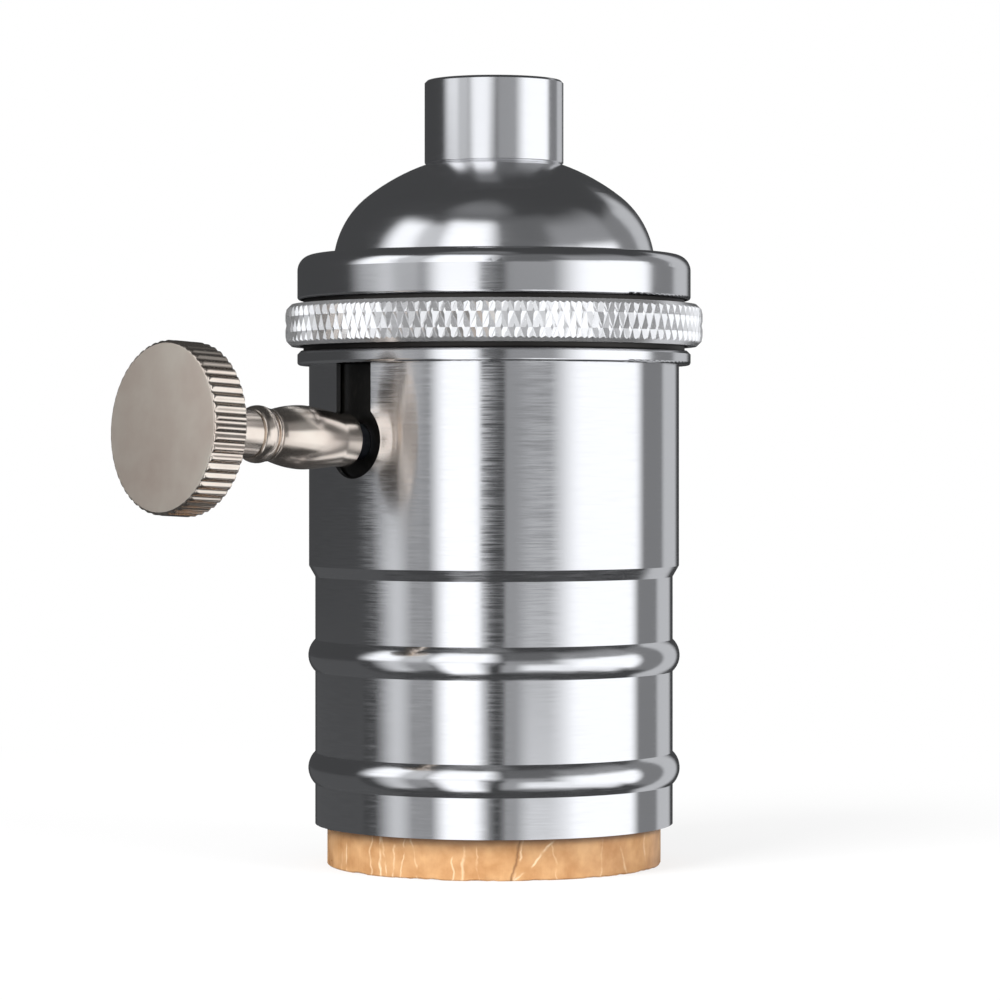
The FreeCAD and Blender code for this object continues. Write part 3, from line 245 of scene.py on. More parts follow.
# Screws, spindle and cross pin
# Zinc-plated steel: the two tie screws under the lamp, the terminal screws, and the spindle
# with the pin that holds the rotor on it.
ZINC = "#b9bec4"
ZINC_BLUE = "#98a3b4"
PLATING_CLOUD = 1.5

# Zinc plate: grey with a bluish cast in soft clouds, duller than the aluminium.
zinc, tree, output, place = new_material("zinc_plated_steel")
clouds = add_node(
    tree, "ShaderNodeTexNoise", Vector=place, Scale=1 / (PLATING_CLOUD * MM), Detail=3.0
).outputs[0]
tint = add_node(
    tree, "ShaderNodeMix", {"data_type": "RGBA"}, _0=clouds, _6=linear(ZINC), _7=linear(ZINC_BLUE)
).outputs[2]
gloss = add_node(tree, "ShaderNodeMapRange", Value=clouds, To_Min=0.25, To_Max=0.4).outputs[0]
shader = add_node(tree, "ShaderNodeBsdfPrincipled", Base_Color=tint, Metallic=1.0, Roughness=gloss)
tree.links.new(shader.outputs[0], output.inputs[0])
coat(
    zinc, "blind_tie_screw", "neutral_tie_screw", "live_terminal_screw", "neutral_terminal_screw", "spindle",
    "rotor_pin",
)

# Insulating sleeve
# A tube of brown insulating board, rolled, lapped and lightly varnished, pushed up into the
# shell. It stands out of the shell's mouth, with its lap, its creases and its cut edge in view.
SLEEVE_OUTSIDE = 16.8
SLEEVE_INSIDE = 16.0
SLEEVE_TOP = 29.9
SLEEVE_EDGE = 0.12
SLEEVE_ROWS = (0.0, SLEEVE_EDGE, 0.5, 1.2, 2.0, 3.0, 4.0, 5.5)
SLEEVE_STEPS = 480
CAMERA_TURN = -42.0
LAP_TURN = 5.9
LAP_SLANT = 0.77
LAP_STEP = 0.1
LAP_SPREAD = 60
LAP_HALF = 0.7
# How dark the painted shadow along the lap's step is.
LAP_DARKNESS = 0.8
BOARD_RIPPLE = 0.06
RIPPLE_LENGTH = 4.0
EDGE_WEAR = 0.22
WORN_HEIGHT = 1.0
# cells a metre of the two noises that fray the cut edge, and the fine one's share
WEAR_BROAD = 350
WEAR_FINE = 1400
WEAR_FINE_SHARE = 0.35
KRAFT = "#d3a676"
KRAFT_DARK = "#b58352"
CRACK_PALE_AND_SHEEN = "#f2d8b4"
LAP_SHADOW = "#7d5634"
BOARD_CLOUD = 2.0
BOARD_FIBRE = 0.25
FIBRE_LENGTH = 4.0
CRACK_WANDER = 2.4
WANDER_LENGTH = 2.2
BREAK_LENGTH = 1.6
CRACK_DEPTH = 1.2
SHELL_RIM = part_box("outer_shell")[0][2] / MM
# How far the painted shadow reaches down from the shell's rim, in mm, and its dark brown.
RIM_SHADE = 0.9
RIM_SHADOW_PAINT = "#5a4030"
# The strongest creases bunch where the varnish catches the light, so their pale colour is partly painted
# sheen.
# turn from the photographed side in degrees, slant in degrees a mm, half width in degrees, strength
CREASES = [
    (-64, 0.2, 0.6, 0.5), (-60, -0.3, 0.5, 0.9), (-46, 0.1, 0.6, 0.6), (-42, 0.3, 0.7, 1.0),
    (-39, -0.4, 0.5, 0.8), (-36, 0.2, 0.5, 1.0), (-33, 0.5, 0.4, 0.7), (-26, -0.8, 0.5, 0.8),
    (-14, 0.1, 0.5, 0.7), (-11, 0.2, 0.7, 0.6), (-5, -0.2, 0.4, 0.5), (7, 0.8, 0.5, 0.7),
    (7, 3.6, 0.7, 1.0), (22, -0.6, 0.4, 0.4), (38, 0.4, 0.5, 0.4), (52, -1.6, 0.7, 0.5),
    (62, 0.3, 0.6, 0.5), (96, 0.4, 0.6, 0.8), (128, -1.2, 0.5, 0.7), (163, 0.2, 0.6, 0.9),
    (-170, 2.0, 0.5, 0.6), (-128, -0.3, 0.6, 0.8), (-97, 0.6, 0.5, 0.7),
]


def degrees_round(tree, parts):
    """Turn round Z, in degrees, of a place that is split into its parts."""
    turn = add_node(
        tree, "ShaderNodeMath", {"operation": "ARCTAN2"}, _0=parts.outputs[1], _1=parts.outputs[0]
    ).outputs[0]
    return add_node(tree, "ShaderNodeMath", {"operation": "DEGREES"}, _0=turn).outputs[0]


def slanted_line(middle, slant, half_width, strength):
    """A line down the board: its strength along the middle, nothing past half its width."""
    line = add_node(
        tree, "ShaderNodeMath", {"operation": "MULTIPLY_ADD"}, _0=parts.outputs[2], _1=-slant / MM, _2=wavy
    ).outputs[0]
    line = add_node(tree, "ShaderNodeMath", {"operation": "SUBTRACT"}, _0=line, _1=middle).outputs[0]
    line = add_node(tree, "ShaderNodeMath", {"operation": "ABSOLUTE"}, _0=line).outputs[0]
    return add_node(
        tree, "ShaderNodeMapRange", Value=line, From_Max=half_width, To_Min=strength, To_Max=0.0
    ).outputs[0]


# Varnished kraft board: warm brown and cloudy, with pale cracks where it was rolled that are partly painted
# sheen where they bunch, a painted shadow along the lap, and a painted shadow under the shell's rim. Its
# fibres are drawn coarser than the real ones, to show.
kraft, tree, output, place = new_material("varnished_kraft_board")
facing_turn = math.radians(-90 + CAMERA_TURN)
faced = add_node(tree, "ShaderNodeMapping", Vector=place, Rotation=(0, 0, -facing_turn)).outputs[0]
parts = add_node(tree, "ShaderNodeSeparateXYZ", _0=faced)
wander = add_node(
    tree, "ShaderNodeTexNoise", Vector=place, Scale=1 / (WANDER_LENGTH * MM), Detail=3.0
).outputs[0]
wander = add_node(
    tree, "ShaderNodeMapRange", Value=wander, To_Min=-CRACK_WANDER, To_Max=CRACK_WANDER
).outputs[0]
wavy = add_node(
    tree, "ShaderNodeMath", {"operation": "ADD"}, _0=degrees_round(tree, parts), _1=wander
).outputs[0]
broken = add_node(
    tree, "ShaderNodeTexNoise", Vector=place, Scale=1 / (BREAK_LENGTH * MM), Detail=2.0
).outputs[0]
broken = add_node(tree, "ShaderNodeMapRange", Value=broken, From_Min=0.38, From_Max=0.56).outputs[0]
cracks_and_sheen = 0.0
for crease in CREASES:
    cracks_and_sheen = add_node(
        tree, "ShaderNodeMath", {"operation": "MAXIMUM"}, _0=cracks_and_sheen, _1=slanted_line(*crease)
    ).outputs[0]
cracks_and_sheen = add_node(tree, "ShaderNodeMath", {"operation": "MULTIPLY"}, _0=cracks_and_sheen, _1=broken).outputs[0]
# Painted shadow: the board is darkened along the lap's slanted line.
painted_lap_shadow = slanted_line(LAP_TURN, LAP_SLANT, LAP_HALF, LAP_DARKNESS)
clouds = add_node(
    tree, "ShaderNodeTexNoise", Vector=place, Scale=1 / (BOARD_CLOUD * MM), Detail=5.0
).outputs[0]
spread = add_node(tree, "ShaderNodeMapRange", Value=clouds, From_Min=0.3, From_Max=0.7).outputs[0]
tint = add_node(
    tree, "ShaderNodeMix", {"data_type": "RGBA"}, _0=spread, _6=linear(KRAFT_DARK), _7=linear(KRAFT)
).outputs[2]
# Painted shadow: the board darkens towards a dark brown just under the shell's rim.
painted_rim_shadow = add_node(
    tree, "ShaderNodeMapRange", {"interpolation_type": "SMOOTHSTEP"}, Value=parts.outputs[2],
    From_Min=(SHELL_RIM - RIM_SHADE) * MM, From_Max=SHELL_RIM * MM, To_Max=0.85,
).outputs[0]
# The lap's and the rim's dark colours are painted shadow, and the pale cracks are partly painted sheen.
for share, colour in ((painted_lap_shadow, LAP_SHADOW), (cracks_and_sheen, CRACK_PALE_AND_SHEEN), (painted_rim_shadow, RIM_SHADOW_PAINT)):
    tint = add_node(
        tree, "ShaderNodeMix", {"data_type": "RGBA"}, _0=share, _6=tint, _7=linear(colour)
    ).outputs[2]
fibre_scale = (1 / (BOARD_FIBRE * MM), 1 / (BOARD_FIBRE * MM), 1 / (FIBRE_LENGTH * MM))
fibre_place = add_node(tree, "ShaderNodeMapping", Vector=place, Scale=fibre_scale).outputs[0]
fibres = add_node(tree, "ShaderNodeTexNoise", Vector=fibre_place, Scale=1.0, Detail=2.0).outputs[0]
height = add_node(
    tree, "ShaderNodeMath", {"operation": "MULTIPLY_ADD"}, _0=cracks_and_sheen, _1=-CRACK_DEPTH, _2=fibres
).outputs[0]
relief = add_node(tree, "ShaderNodeBump", Height=height, Distance=0.05 * MM, Strength=0.5).outputs[0]
gloss = add_node(tree, "ShaderNodeMapRange", Value=clouds, To_Min=0.22, To_Max=0.42).outputs[0]
shader = add_node(
    tree, "ShaderNodeBsdfPrincipled", Base_Color=tint, Roughness=gloss, IOR=1.45, Normal=relief
)
tree.links.new(shader.outputs[0], output.inputs[0])

shape = bmesh.new()
ring = [Vector((SLEEVE_INSIDE, 0, SLEEVE_EDGE)), Vector((SLEEVE_INSIDE + SLEEVE_EDGE, 0, 0))]
ring += [Vector((SLEEVE_OUTSIDE - max(0, SLEEVE_EDGE - up), 0, up)) for up in SLEEVE_ROWS]
ring += [Vector((SLEEVE_OUTSIDE, 0, SLEEVE_TOP)), Vector((SLEEVE_INSIDE, 0, SLEEVE_TOP))]
corners = [shape.verts.new(corner * MM) for corner in ring]
edges = [shape.edges.new(pair) for pair in zip(corners, corners[1:] + corners[:1])]
bmesh.ops.spin(
    shape, geom=corners + edges, cent=(0, 0, 0), axis=(0, 0, 1), angle=math.tau, steps=SLEEVE_STEPS,
    use_merge=True,
)
bmesh.ops.remove_doubles(shape, verts=shape.verts, dist=SAME_SPOT * MM)
for spot in shape.verts:
    turned = math.degrees(math.atan2(spot.co.y, spot.co.x) - facing_turn)
    past_lap = (turned - LAP_TURN - LAP_SLANT * spot.co.z / MM) % 360
    away = spot.co.xy.length / MM
    if away > (SLEEVE_OUTSIDE + SLEEVE_INSIDE) / 2:
        step = LAP_STEP * max(0, 1 - past_lap / LAP_SPREAD)
        ripple = BOARD_RIPPLE * (noise.noise(spot.co / (RIPPLE_LENGTH * MM)) - 1) / 2
        spot.co.xy *= (away - step + ripple) / away
    if spot.co.z < WORN_HEIGHT * MM:
        roughness = noise.noise(spot.co * WEAR_BROAD) + WEAR_FINE_SHARE * noise.noise(spot.co * WEAR_FINE)
        spot.co.z += EDGE_WEAR * max(0, roughness) * MM
bmesh.ops.recalc_face_normals(shape, faces=shape.faces)
add_piece("lapped_sleeve", shape, kraft, "holder", "insulating_sleeve")

# Outer shell
# Drawn aluminium sheet with two rolled beads, a step and an open keyhole, turned bright on the
# outside. Its fine lathe lines draw what it mirrors out up and down, never round it.
ALUMINIUM = "#f4f4f5"
LATHE_LINE = 0.14
LATHE_SMEAR = 3.0

# Turned aluminium: bright silver, sharp round the shell and soft along it, with faint streaks.
# The tool's real lines are finer than a pixel, so they are drawn coarser.
turned_aluminium, tree, output, place = new_material("turned_aluminium")
relief, lines = tool_lines(tree, place, pitch=LATHE_LINE, length=LATHE_SMEAR, depth=0.0016, strength=0.4)
gloss = add_node(
    tree, "ShaderNodeMapRange", Value=lines, From_Min=0.3, From_Max=0.7, To_Min=0.08, To_Max=0.2
).outputs[0]
round_axis = add_node(tree, "ShaderNodeTangent", {"direction_type": "RADIAL", "axis": "Z"}).outputs[0]
shader = add_node(
    tree, "ShaderNodeBsdfPrincipled", Base_Color=linear(ALUMINIUM), Metallic=1.0, Roughness=gloss,
    Normal=relief, Anisotropic=0.9, Anisotropic_Rotation=0.25, Tangent=round_axis,
)
tree.links.new(shader.outputs[0], output.inputs[0])
coat(turned_aluminium, "outer_shell")

# Union ring
# Turned aluminium ring that clamps the cap's flange on the shell. Its band carries a pressed diamond knurl,
# and the two grooves beside it are painted dark grey as shade.
KNURL_LOW = 51.4
KNURL_HIGH = 56.8
KNURL_FLOOR = 19.45
KNURL_BAND = 20.4
GROOVE_MARGIN = 0.02
GROOVE_FADE = 0.3
GROOVE_DULLNESS = 0.35
BAND_DULLNESS = 0.03
# Dark grey painted into the grooves as shade.
GROOVE_SHADE_PAINT = "#4a4846"


def distance_from_axis(tree, place):
    """How far a place is from the holder's axis."""
    flat_place = add_node(tree, "ShaderNodeMapping", Vector=place, Scale=(1, 1, 0)).outputs[0]
    return add_node(tree, "ShaderNodeVectorMath", {"operation": "LENGTH"}, _0=flat_place).outputs["Value"]


# Knurled aluminium: bright on the lands, a little milky on the pressed band, dull down in the grooves, where
# dark grey is painted in as shade. The lathe lines are drawn as coarse as the shell's.
knurled, tree, output, place = new_material("knurled_aluminium")
height = add_node(tree, "ShaderNodeSeparateXYZ", _0=place).outputs[2]
away = distance_from_axis(tree, place)
# Painted shade: the groove floors, between the band's limits, are mixed towards a dark grey.
painted_groove_shade = add_node(
    tree, "ShaderNodeMapRange", {"interpolation_type": "SMOOTHSTEP"}, Value=away,
    From_Min=(KNURL_FLOOR + GROOVE_MARGIN) * MM, From_Max=(KNURL_FLOOR + GROOVE_FADE) * MM,
    To_Min=1.0, To_Max=0.0,
).outputs[0]
for side, limit in (("GREATER_THAN", KNURL_LOW), ("LESS_THAN", KNURL_HIGH)):
    within = add_node(tree, "ShaderNodeMath", {"operation": side}, _0=height, _1=limit * MM).outputs[0]
    painted_groove_shade = add_node(tree, "ShaderNodeMath", {"operation": "MULTIPLY"}, _0=painted_groove_shade, _1=within).outputs[0]
tint = add_node(
    tree, "ShaderNodeMix", {"data_type": "RGBA"}, _0=painted_groove_shade, _6=linear(ALUMINIUM), _7=linear(GROOVE_SHADE_PAINT)
).outputs[2]
band = add_node(
    tree, "ShaderNodeMath", {"operation": "GREATER_THAN"}, _0=away, _1=KNURL_BAND * MM
).outputs[0]
relief, lines = tool_lines(tree, place, pitch=LATHE_LINE, length=LATHE_SMEAR, depth=0.002, strength=0.3)
gloss = add_node(tree, "ShaderNodeMapRange", Value=lines, To_Min=0.08, To_Max=0.2).outputs[0]
for share, dullness in ((painted_groove_shade, GROOVE_DULLNESS), (band, BAND_DULLNESS)):
    gloss = add_node(
        tree, "ShaderNodeMath", {"operation": "MULTIPLY_ADD"}, _0=share, _1=dullness, _2=gloss
    ).outputs[0]
metal = add_node(tree, "ShaderNodeMapRange", Value=band, To_Min=1.0, To_Max=0.86).outputs[0]
shader = add_node(
    tree, "ShaderNodeBsdfPrincipled", Base_Color=tint, Metallic=metal, Roughness=gloss, Normal=relief
)
tree.links.new(shader.outputs[0], output.inputs[0])
coat(knurled, "knurled_ring")

# Cap and neck
# The dome is spun from sheet and the hub is turned and staked in it. Both are buffed, so what
# they mirror is softer than on the shell. The hub's bore is threaded for the cord's nipple.
BUFFING_LINE = 0.4
BUFFING_SMEAR = 6
BORE_EDGE = 4.7
CORD_THREAD = 1.0
CORD_THREAD_DEPTH = 0.55

# Buffed aluminium: bright and soft, with the buff's faint lines round it, which are drawn
# coarser than the real ones to show. The thread is relief only, and right-handed.
buffed, tree, output, place = new_material("buffed_aluminium")
relief, lines = tool_lines(tree, place, pitch=BUFFING_LINE, length=BUFFING_SMEAR, depth=0.002, strength=0.3)
parts = add_node(tree, "ShaderNodeSeparateXYZ", _0=place)
in_bore = add_node(
    tree, "ShaderNodeMath", {"operation": "LESS_THAN"}, _0=distance_from_axis(tree, place), _1=BORE_EDGE * MM
).outputs[0]
turns = add_node(
    tree, "ShaderNodeMath", {"operation": "DIVIDE"}, _0=degrees_round(tree, parts), _1=-360.0
).outputs[0]
climb = add_node(
    tree, "ShaderNodeMath", {"operation": "MULTIPLY_ADD"}, _0=parts.outputs[2], _1=1 / (CORD_THREAD * MM),
    _2=turns,
).outputs[0]
ridge = add_node(tree, "ShaderNodeMath", {"operation": "PINGPONG"}, _0=climb, _1=0.5).outputs[0]
ridge = add_node(tree, "ShaderNodeMath", {"operation": "MULTIPLY"}, _0=ridge, _1=in_bore).outputs[0]
relief = add_node(
    tree, "ShaderNodeBump", Height=ridge, Distance=2 * CORD_THREAD_DEPTH * MM, Normal=relief
).outputs[0]
gloss = add_node(tree, "ShaderNodeMapRange", Value=lines, To_Min=0.12, To_Max=0.22).outputs[0]
shader = add_node(
    tree, "ShaderNodeBsdfPrincipled", Base_Color=linear(ALUMINIUM), Metallic=1.0, Roughness=gloss,
    Normal=relief,
)
tree.links.new(shader.outputs[0], output.inputs[0])
coat(buffed, "cap_dome", "neck_hub")

# Knob
# Turned from brass in one piece with its stem and nickel-plated: a disc with rounded flutes, a
# neck, a bead, a fine ring and a barrel that runs into the stem's plain end, over the spindle.
SPINDLE_TILT = 3.0
SPINDLE_HEIGHT = 41.5
# Places along the spindle are distances from the lamp's axis.
KNOB_FACE = 41.87
FACE_SKIN = 0.03
KNOB_BACK = 38.12
BACK_EDGE = 0.12
BACK_EASE = 0.03
BACK_SKIN = 0.01
KNOB_RADIUS = 8.25
KNOB_EDGE = 0.45
EDGE_STEPS = 4
NECK_RADIUS = 2.35
NECK_FILLET = 0.5
FILLET_MIDDLE = 0.15
BEAD_MIDDLE = 30.5
BEAD_HALF = 0.9
BEAD_SWELL = 0.43
RING_MIDDLE = 29.28
RING_HALF = 0.22
RING_SWELL = 0.2
BARREL_END = 28.95
BARREL_NECK = 2.45
BARREL_CREST = 25.0
BARREL_RADIUS = 3.1
STEM_RADIUS = 2.6
STEM_START = 21.0
STEM_END = 19.35
STEM_EDGE = 0.15
BORE_RADIUS = 1.82
BORE_END = 26.5
FLUTES = 52
FLUTE_STEPS = 10
FLUTE_DEPTH = 0.24
FLUTE_MARGIN = 0.2
CURVE_STEPS = 10
NICKEL = "#f1e7da"
NICKEL_SHADE = "#e3d3c6"
FACE_CLOUD = 4.0
TURNING_LINE = 0.18
TURNING_LENGTH = 33.3

# Satin nickel: warm grey, soft on the face, with fine turning lines round the stem, drawn
# coarser than the real ones to show.
nickel, tree, output, place = new_material("satin_nickel")
along_axis = add_node(
    tree, "ShaderNodeMapping", {"vector_type": "TEXTURE"}, Vector=place, Location=(0, 0, SPINDLE_HEIGHT * MM),
    Rotation=(0, math.radians(SPINDLE_TILT), 0),
).outputs[0]
parts = add_node(tree, "ShaderNodeSeparateXYZ", _0=along_axis)
on_face = add_node(
    tree, "ShaderNodeMath", {"operation": "LESS_THAN"}, _0=parts.outputs[0], _1=(FACE_SKIN - KNOB_FACE) * MM
).outputs[0]
clouds = add_node(tree, "ShaderNodeTexNoise", Vector=place, Scale=1 / (FACE_CLOUD * MM), Detail=3.0).outputs[0]
spread = add_node(tree, "ShaderNodeMapRange", Value=clouds, From_Min=0.3, From_Max=0.75).outputs[0]
tint = add_node(
    tree, "ShaderNodeMix", {"data_type": "RGBA"}, _0=spread, _6=linear(NICKEL), _7=linear(NICKEL_SHADE)
).outputs[2]
gloss = add_node(tree, "ShaderNodeMapRange", Value=on_face, To_Min=0.2, To_Max=0.5).outputs[0]
plating = add_node(tree, "ShaderNodeMapRange", Value=on_face, To_Min=1.0, To_Max=0.88).outputs[0]
line_scale = (1 / (TURNING_LINE * MM), 1 / (TURNING_LENGTH * MM), 1 / (TURNING_LENGTH * MM))
turned_place = add_node(tree, "ShaderNodeMapping", Vector=along_axis, Scale=line_scale).outputs[0]
lines = add_node(tree, "ShaderNodeTexNoise", Vector=turned_place, Scale=1.0, Detail=2.0).outputs[0]
relief = add_node(tree, "ShaderNodeBump", Height=lines, Distance=0.003 * MM, Strength=0.3).outputs[0]
shader = add_node(
    tree, "ShaderNodeBsdfPrincipled", Base_Color=tint, Metallic=plating, Roughness=gloss, Normal=relief
)
tree.links.new(shader.outputs[0], output.inputs[0])


def swell(middle, half, rise, radius):
    """Points of a rounded bead on a stem, from its knob side to its shell side."""
    turns = [math.pi * step / CURVE_STEPS for step in range(CURVE_STEPS + 1)]
    return [(middle + half * math.cos(turn), radius + rise * math.sin(turn)) for turn in turns]


def ease(start, finish, start_radius, finish_radius, bulge):
    """Points of a smooth run between two radii. A higher bulge leaves the first radius more slowly."""
    steps = [step / CURVE_STEPS for step in range(CURVE_STEPS + 1)]
    return [
        (start + (finish - start) * step, start_radius + (finish_radius - start_radius) * step ** bulge)
        for step in steps
    ]


edge_turns = [math.radians(90 * step / EDGE_STEPS) for step in range(EDGE_STEPS + 1)]
outline = [(KNOB_FACE, 0)]
outline += [
    (KNOB_FACE - KNOB_EDGE * (1 - math.cos(turn)), KNOB_RADIUS - KNOB_EDGE * (1 - math.sin(turn)))
    for turn in edge_turns
]
outline += [(KNOB_FACE - KNOB_EDGE - FLUTE_MARGIN, KNOB_RADIUS), (KNOB_BACK + FLUTE_MARGIN, KNOB_RADIUS)]
outline += [(KNOB_BACK + FLUTE_MARGIN / 2, KNOB_RADIUS - BACK_EASE), (KNOB_BACK, KNOB_RADIUS - BACK_EDGE)]
outline += [(KNOB_BACK, NECK_RADIUS + NECK_FILLET), (KNOB_BACK - FILLET_MIDDLE, NECK_RADIUS + FILLET_MIDDLE)]
outline += [(KNOB_BACK - NECK_FILLET, NECK_RADIUS)]
outline += swell(BEAD_MIDDLE, BEAD_HALF, BEAD_SWELL, NECK_RADIUS)
outline += swell(RING_MIDDLE, RING_HALF, RING_SWELL, NECK_RADIUS)
outline += ease(BARREL_CREST, BARREL_END, BARREL_RADIUS, BARREL_NECK, bulge=2)[::-1]
outline += ease(BARREL_CREST, STEM_START, BARREL_RADIUS, STEM_RADIUS, bulge=1.5)[1:]
outline += [(STEM_END + STEM_EDGE, STEM_RADIUS), (STEM_END, STEM_RADIUS - STEM_EDGE)]
outline += [(STEM_END, BORE_RADIUS), (BORE_END, BORE_RADIUS), (BORE_END, 0)]
shape = bmesh.new()
corners = [shape.verts.new(Vector((-far, 0, radius)) * MM) for far, radius in outline]
edges = [shape.edges.new(pair) for pair in zip(corners, corners[1:])]
bmesh.ops.spin(
    shape, geom=corners + edges, cent=(0, 0, 0), axis=(1, 0, 0), angle=math.tau, steps=FLUTES * FLUTE_STEPS,
    use_merge=True,
)
bmesh.ops.remove_doubles(shape, verts=shape.verts, dist=SAME_SPOT * MM)
for spot in shape.verts:
    across = math.hypot(spot.co.y, spot.co.z) / MM
    wave = 0.5 - 0.5 * math.cos(FLUTES * math.atan2(spot.co.z, spot.co.y))
    floor_radius = KNOB_RADIUS - FLUTE_DEPTH * wave
    if across > floor_radius and -spot.co.x / MM > KNOB_BACK - BACK_SKIN:
        spot.co.yz *= floor_radius / across
bmesh.ops.recalc_face_normals(shape, faces=shape.faces)
lean = Matrix.Translation((0, 0, SPINDLE_HEIGHT * MM)) @ Matrix.Rotation(math.radians(SPINDLE_TILT), 4, "Y")
bmesh.ops.transform(shape, matrix=lean, verts=shape.verts)
add_piece("fluted_knob", shape, nickel, "knob_group", "knob")

# Floor
# A white table top under the holder. The camera sees it as white paper that keeps the
# holder's shadow, and the polished metal mirrors the tent instead. Its sizes are in metres.
FLOOR_SIZE = 3.0
PAPER = "#f3f3f3"
SHADOW_START = 0.03
SHADOW_END = 0.16
PAPER_GLOW = 0.75
paper, tree, output, place = new_material("white_paper")
sight = add_node(tree, "ShaderNodeLightPath").outputs["Is Camera Ray"]
matt = add_node(tree, "ShaderNodeBsdfDiffuse", Color=linear(PAPER)).outputs[0]
glow = add_node(tree, "ShaderNodeEmission", Strength=1.0).outputs[0]
far = add_node(tree, "ShaderNodeVectorMath", {"operation": "LENGTH"}, _0=place).outputs["Value"]
fade = add_node(
    tree, "ShaderNodeMapRange", Value=far, From_Min=SHADOW_START, From_Max=SHADOW_END, To_Min=PAPER_GLOW
).outputs[0]
white = add_node(tree, "ShaderNodeMath", {"operation": "MULTIPLY"}, _0=fade, _1=sight).outputs[0]
mixed = add_node(tree, "ShaderNodeMixShader", _0=white, _1=matt, _2=glow).outputs[0]
tree.links.new(mixed, output.inputs[0])

shape = bmesh.new()
bmesh.ops.create_grid(shape, x_segments=1, y_segments=1, size=FLOOR_SIZE)
floor = add_object("floor", shape, paper)
floor.visible_glossy = False

# Light tent
# Polished metal shows what stands round it. The tent has white panels with dark cloth between
# them, and only reflections see it. Angles run round from the camera, to its right.
DIRECTION = Vector((math.cos(facing_turn), math.sin(facing_turn), 0))
TENT_RADIUS = 3.0
TENT_CLOTH = 0.06
TENT_WHITE = "#f6f8fc"
# left, right, low, high, soft side, soft end, brightness
PANELS = [
    (-88, -57, 5, 46, 20, 12, 1.2),
    (-75, -53, -38, 7, 22, 8, 0.62),
    (-60, -42, 2, 46, 10, 10, 0.62),
    (-62, -38, -34, 6, 8, 8, 0.3),
    (-42, 1, 5, 52, 18, 12, 1.25),
    (-37, -4.5, -10, 7, 18, 8, 1.25),
    (-35, -6, -54, -4, 14, 14, 1.25),
    (-165, -88, -60, -1, 14, 6, 0.09),
    (-60, 24, 56, 84, 40, 26, 0.2),
    (4, 62, -45, 3, 8, 12, 0.36),
    (5, 36, 1, 14, 8, 8, 0.36),
    (5, 60, 3, 60, 12, 20, 0.14),
    (40, 86, -24, 19, 34, 10, 1.2),
    (64, 103, -24, 21, 14, 10, 1.2),
    (15, 92, -36, -3.5, 20, 8, 1.0),
    (40, 108, 12, 50, 24, 30, 0.3),
    (98, 132, -30, 40, 10, 10, 0.22),
    (127, 156, -40, 36, 12, 8, 0.55),
]
# The gap that the lens looks through: wide in its upper half, narrow in its lower half.
LENS_GAPS = [(-8, 6, -2.2, 4.6, 5, 1.5), (-3.5, 6, -5, 0, 5, 1.5)]

cloth, tree, output, place = new_material("tent_cloth")
faced = add_node(tree, "ShaderNodeMapping", Vector=place, Rotation=(0, 0, -facing_turn)).outputs[0]
ray = add_node(tree, "ShaderNodeVectorMath", {"operation": "NORMALIZE"}, _0=faced).outputs[0]
parts = add_node(tree, "ShaderNodeSeparateXYZ", _0=ray)
turn = degrees_round(tree, parts)
rise = add_node(tree, "ShaderNodeMath", {"operation": "ARCSINE"}, _0=parts.outputs[2]).outputs[0]
rise = add_node(tree, "ShaderNodeMath", {"operation": "DEGREES"}, _0=rise).outputs[0]


def soft_patch(left, right, low, high, soft_side, soft_end):
    """One within the patch, zero outside, with soft edges."""
    total = 1.0
    for angle, edge, width in (
        (turn, left, soft_side), (turn, right, -soft_side), (rise, low, soft_end), (rise, high, -soft_end)
    ):
        within = add_node(
            tree, "ShaderNodeMapRange", {"interpolation_type": "SMOOTHSTEP"}, Value=angle,
            From_Min=edge - width / 2, From_Max=edge + width / 2,
        ).outputs[0]
        total = add_node(tree, "ShaderNodeMath", {"operation": "MULTIPLY"}, _0=total, _1=within).outputs[0]
    return total


brightness = TENT_CLOTH
for *patch, level in PANELS:
    panel = add_node(
        tree, "ShaderNodeMath", {"operation": "MULTIPLY"}, _0=soft_patch(*patch), _1=level
    ).outputs[0]
    brightness = add_node(
        tree, "ShaderNodeMath", {"operation": "MAXIMUM"}, _0=brightness, _1=panel
    ).outputs[0]
for gap in LENS_GAPS:
    shut = add_node(tree, "ShaderNodeMapRange", Value=soft_patch(*gap), To_Min=1.0, To_Max=0.0).outputs[0]
    brightness = add_node(
        tree, "ShaderNodeMath", {"operation": "MULTIPLY"}, _0=brightness, _1=shut
    ).outputs[0]
brightness = add_node(
    tree, "ShaderNodeMath", {"operation": "MAXIMUM"}, _0=brightness, _1=TENT_CLOTH
).outputs[0]
glow = add_node(tree, "ShaderNodeEmission", Color=linear(TENT_WHITE), Strength=brightness).outputs[0]
tree.links.new(glow, output.inputs[0])

shape = bmesh.new()
bmesh.ops.create_uvsphere(shape, u_segments=32, v_segments=16, radius=TENT_RADIUS)
tent = add_object("light_tent", shape, cloth)
tent.visible_camera = False
tent.visible_diffuse = False
tent.visible_transmission = False
tent.visible_shadow = False

# Lamps and world
# Two large soft lamps and an even sky light the matt surfaces, and the metal doesn't mirror
# them. The background is plain white, and dimmer only where it lights a matt surface.
BACKGROUND = "#ffffff"
SKY_LEVEL = 0.55
LAMPS_FORWARD = 0.6
LAMPS_AIM = 0.04
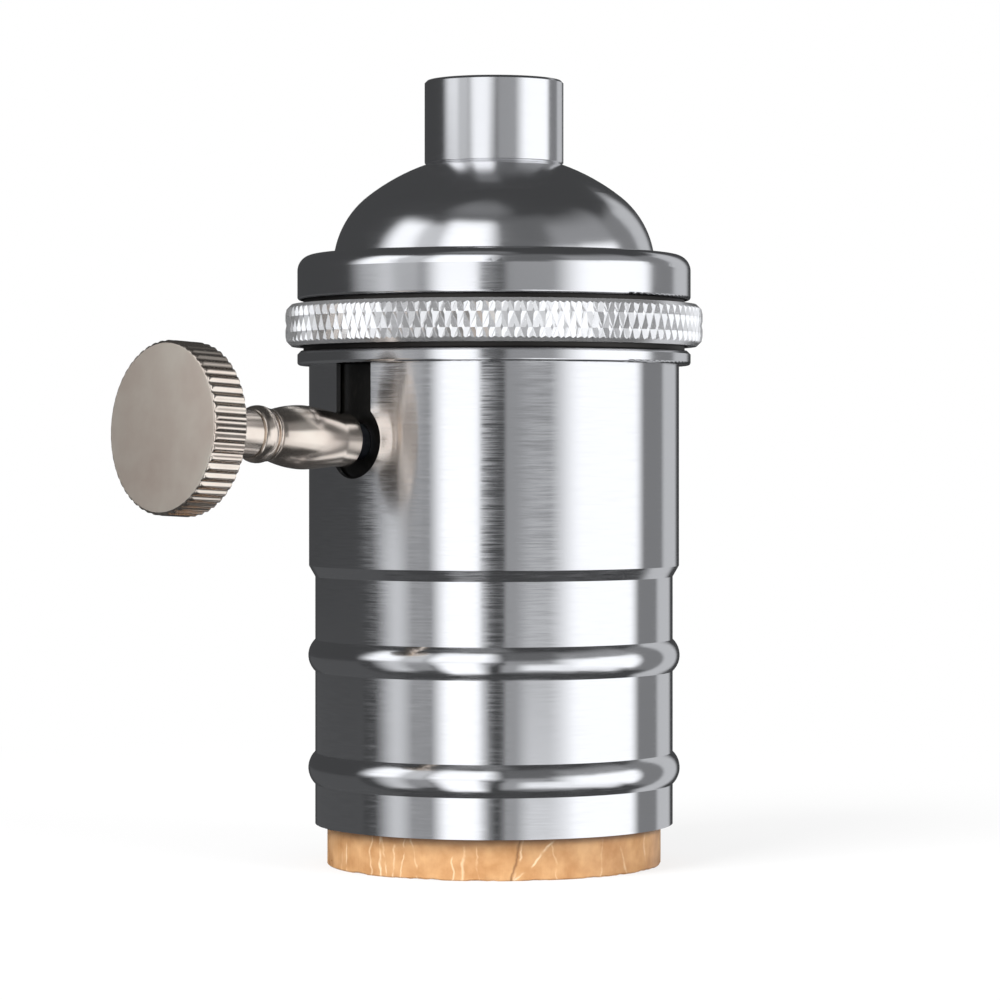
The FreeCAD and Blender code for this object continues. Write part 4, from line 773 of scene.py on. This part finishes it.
# name, to the right, height, size, watts
LAMPS = [("key", -0.5, 0.7, 0.5, 10.0), ("fill", 0.7, 0.5, 0.5, 5.0)]

world = bpy.data.worlds.new("studio")
world.use_nodes = True
bpy.context.scene.world = world
tree = world.node_tree
tree.nodes.clear()
output = add_node(tree, "ShaderNodeOutputWorld")
path = add_node(tree, "ShaderNodeLightPath")
shown = path.outputs["Is Camera Ray"]
for other in ("Is Glossy Ray", "Is Transmission Ray"):
    shown = add_node(
        tree, "ShaderNodeMath", {"operation": "MAXIMUM"}, _0=shown, _1=path.outputs[other]
    ).outputs[0]
level = add_node(tree, "ShaderNodeMapRange", Value=shown, To_Min=SKY_LEVEL, To_Max=1.0).outputs[0]
background = add_node(tree, "ShaderNodeBackground", Color=linear(BACKGROUND), Strength=level)
tree.links.new(background.outputs[0], output.inputs[0])

to_the_right = DIRECTION.cross(Vector((0, 0, 1))) * -1
for name, side, up, size, power in LAMPS:
    light = bpy.data.lights.new(name, "AREA")
    light.size = size
    light.energy = power
    lamp = bpy.data.objects.new(name, light)
    bpy.context.scene.collection.objects.link(lamp)
    lamp.location = DIRECTION * LAMPS_FORWARD + to_the_right * side + Vector((0, 0, up))
    lamp.rotation_euler = (lamp.location - Vector((0, 0, LAMPS_AIM))).to_track_quat("Z", "Y").to_euler()
    lamp.visible_glossy = False

# Camera
# The photograph was taken from the knob's side, level with the keyhole, with a long lens. Its
# distance and height match how the round edges open in the photograph.
CAMERA_DISTANCE = 0.382
CAMERA_HEIGHT = 0.0414
FOCAL_LENGTH = 136.4
SHIFT_RIGHT = 0.006
SHIFT_UP = -0.048
eye = bpy.data.cameras.new("camera")
eye.lens = FOCAL_LENGTH
eye.shift_x = SHIFT_RIGHT
eye.shift_y = SHIFT_UP
camera = bpy.data.objects.new("camera", eye)
bpy.context.scene.collection.objects.link(camera)
camera.location = DIRECTION * CAMERA_DISTANCE + Vector((0, 0, CAMERA_HEIGHT))
camera.rotation_euler = DIRECTION.to_track_quat("Z", "Y").to_euler()
bpy.context.scene.camera = camera
bpy.context.scene.view_settings.view_transform = "Standard"
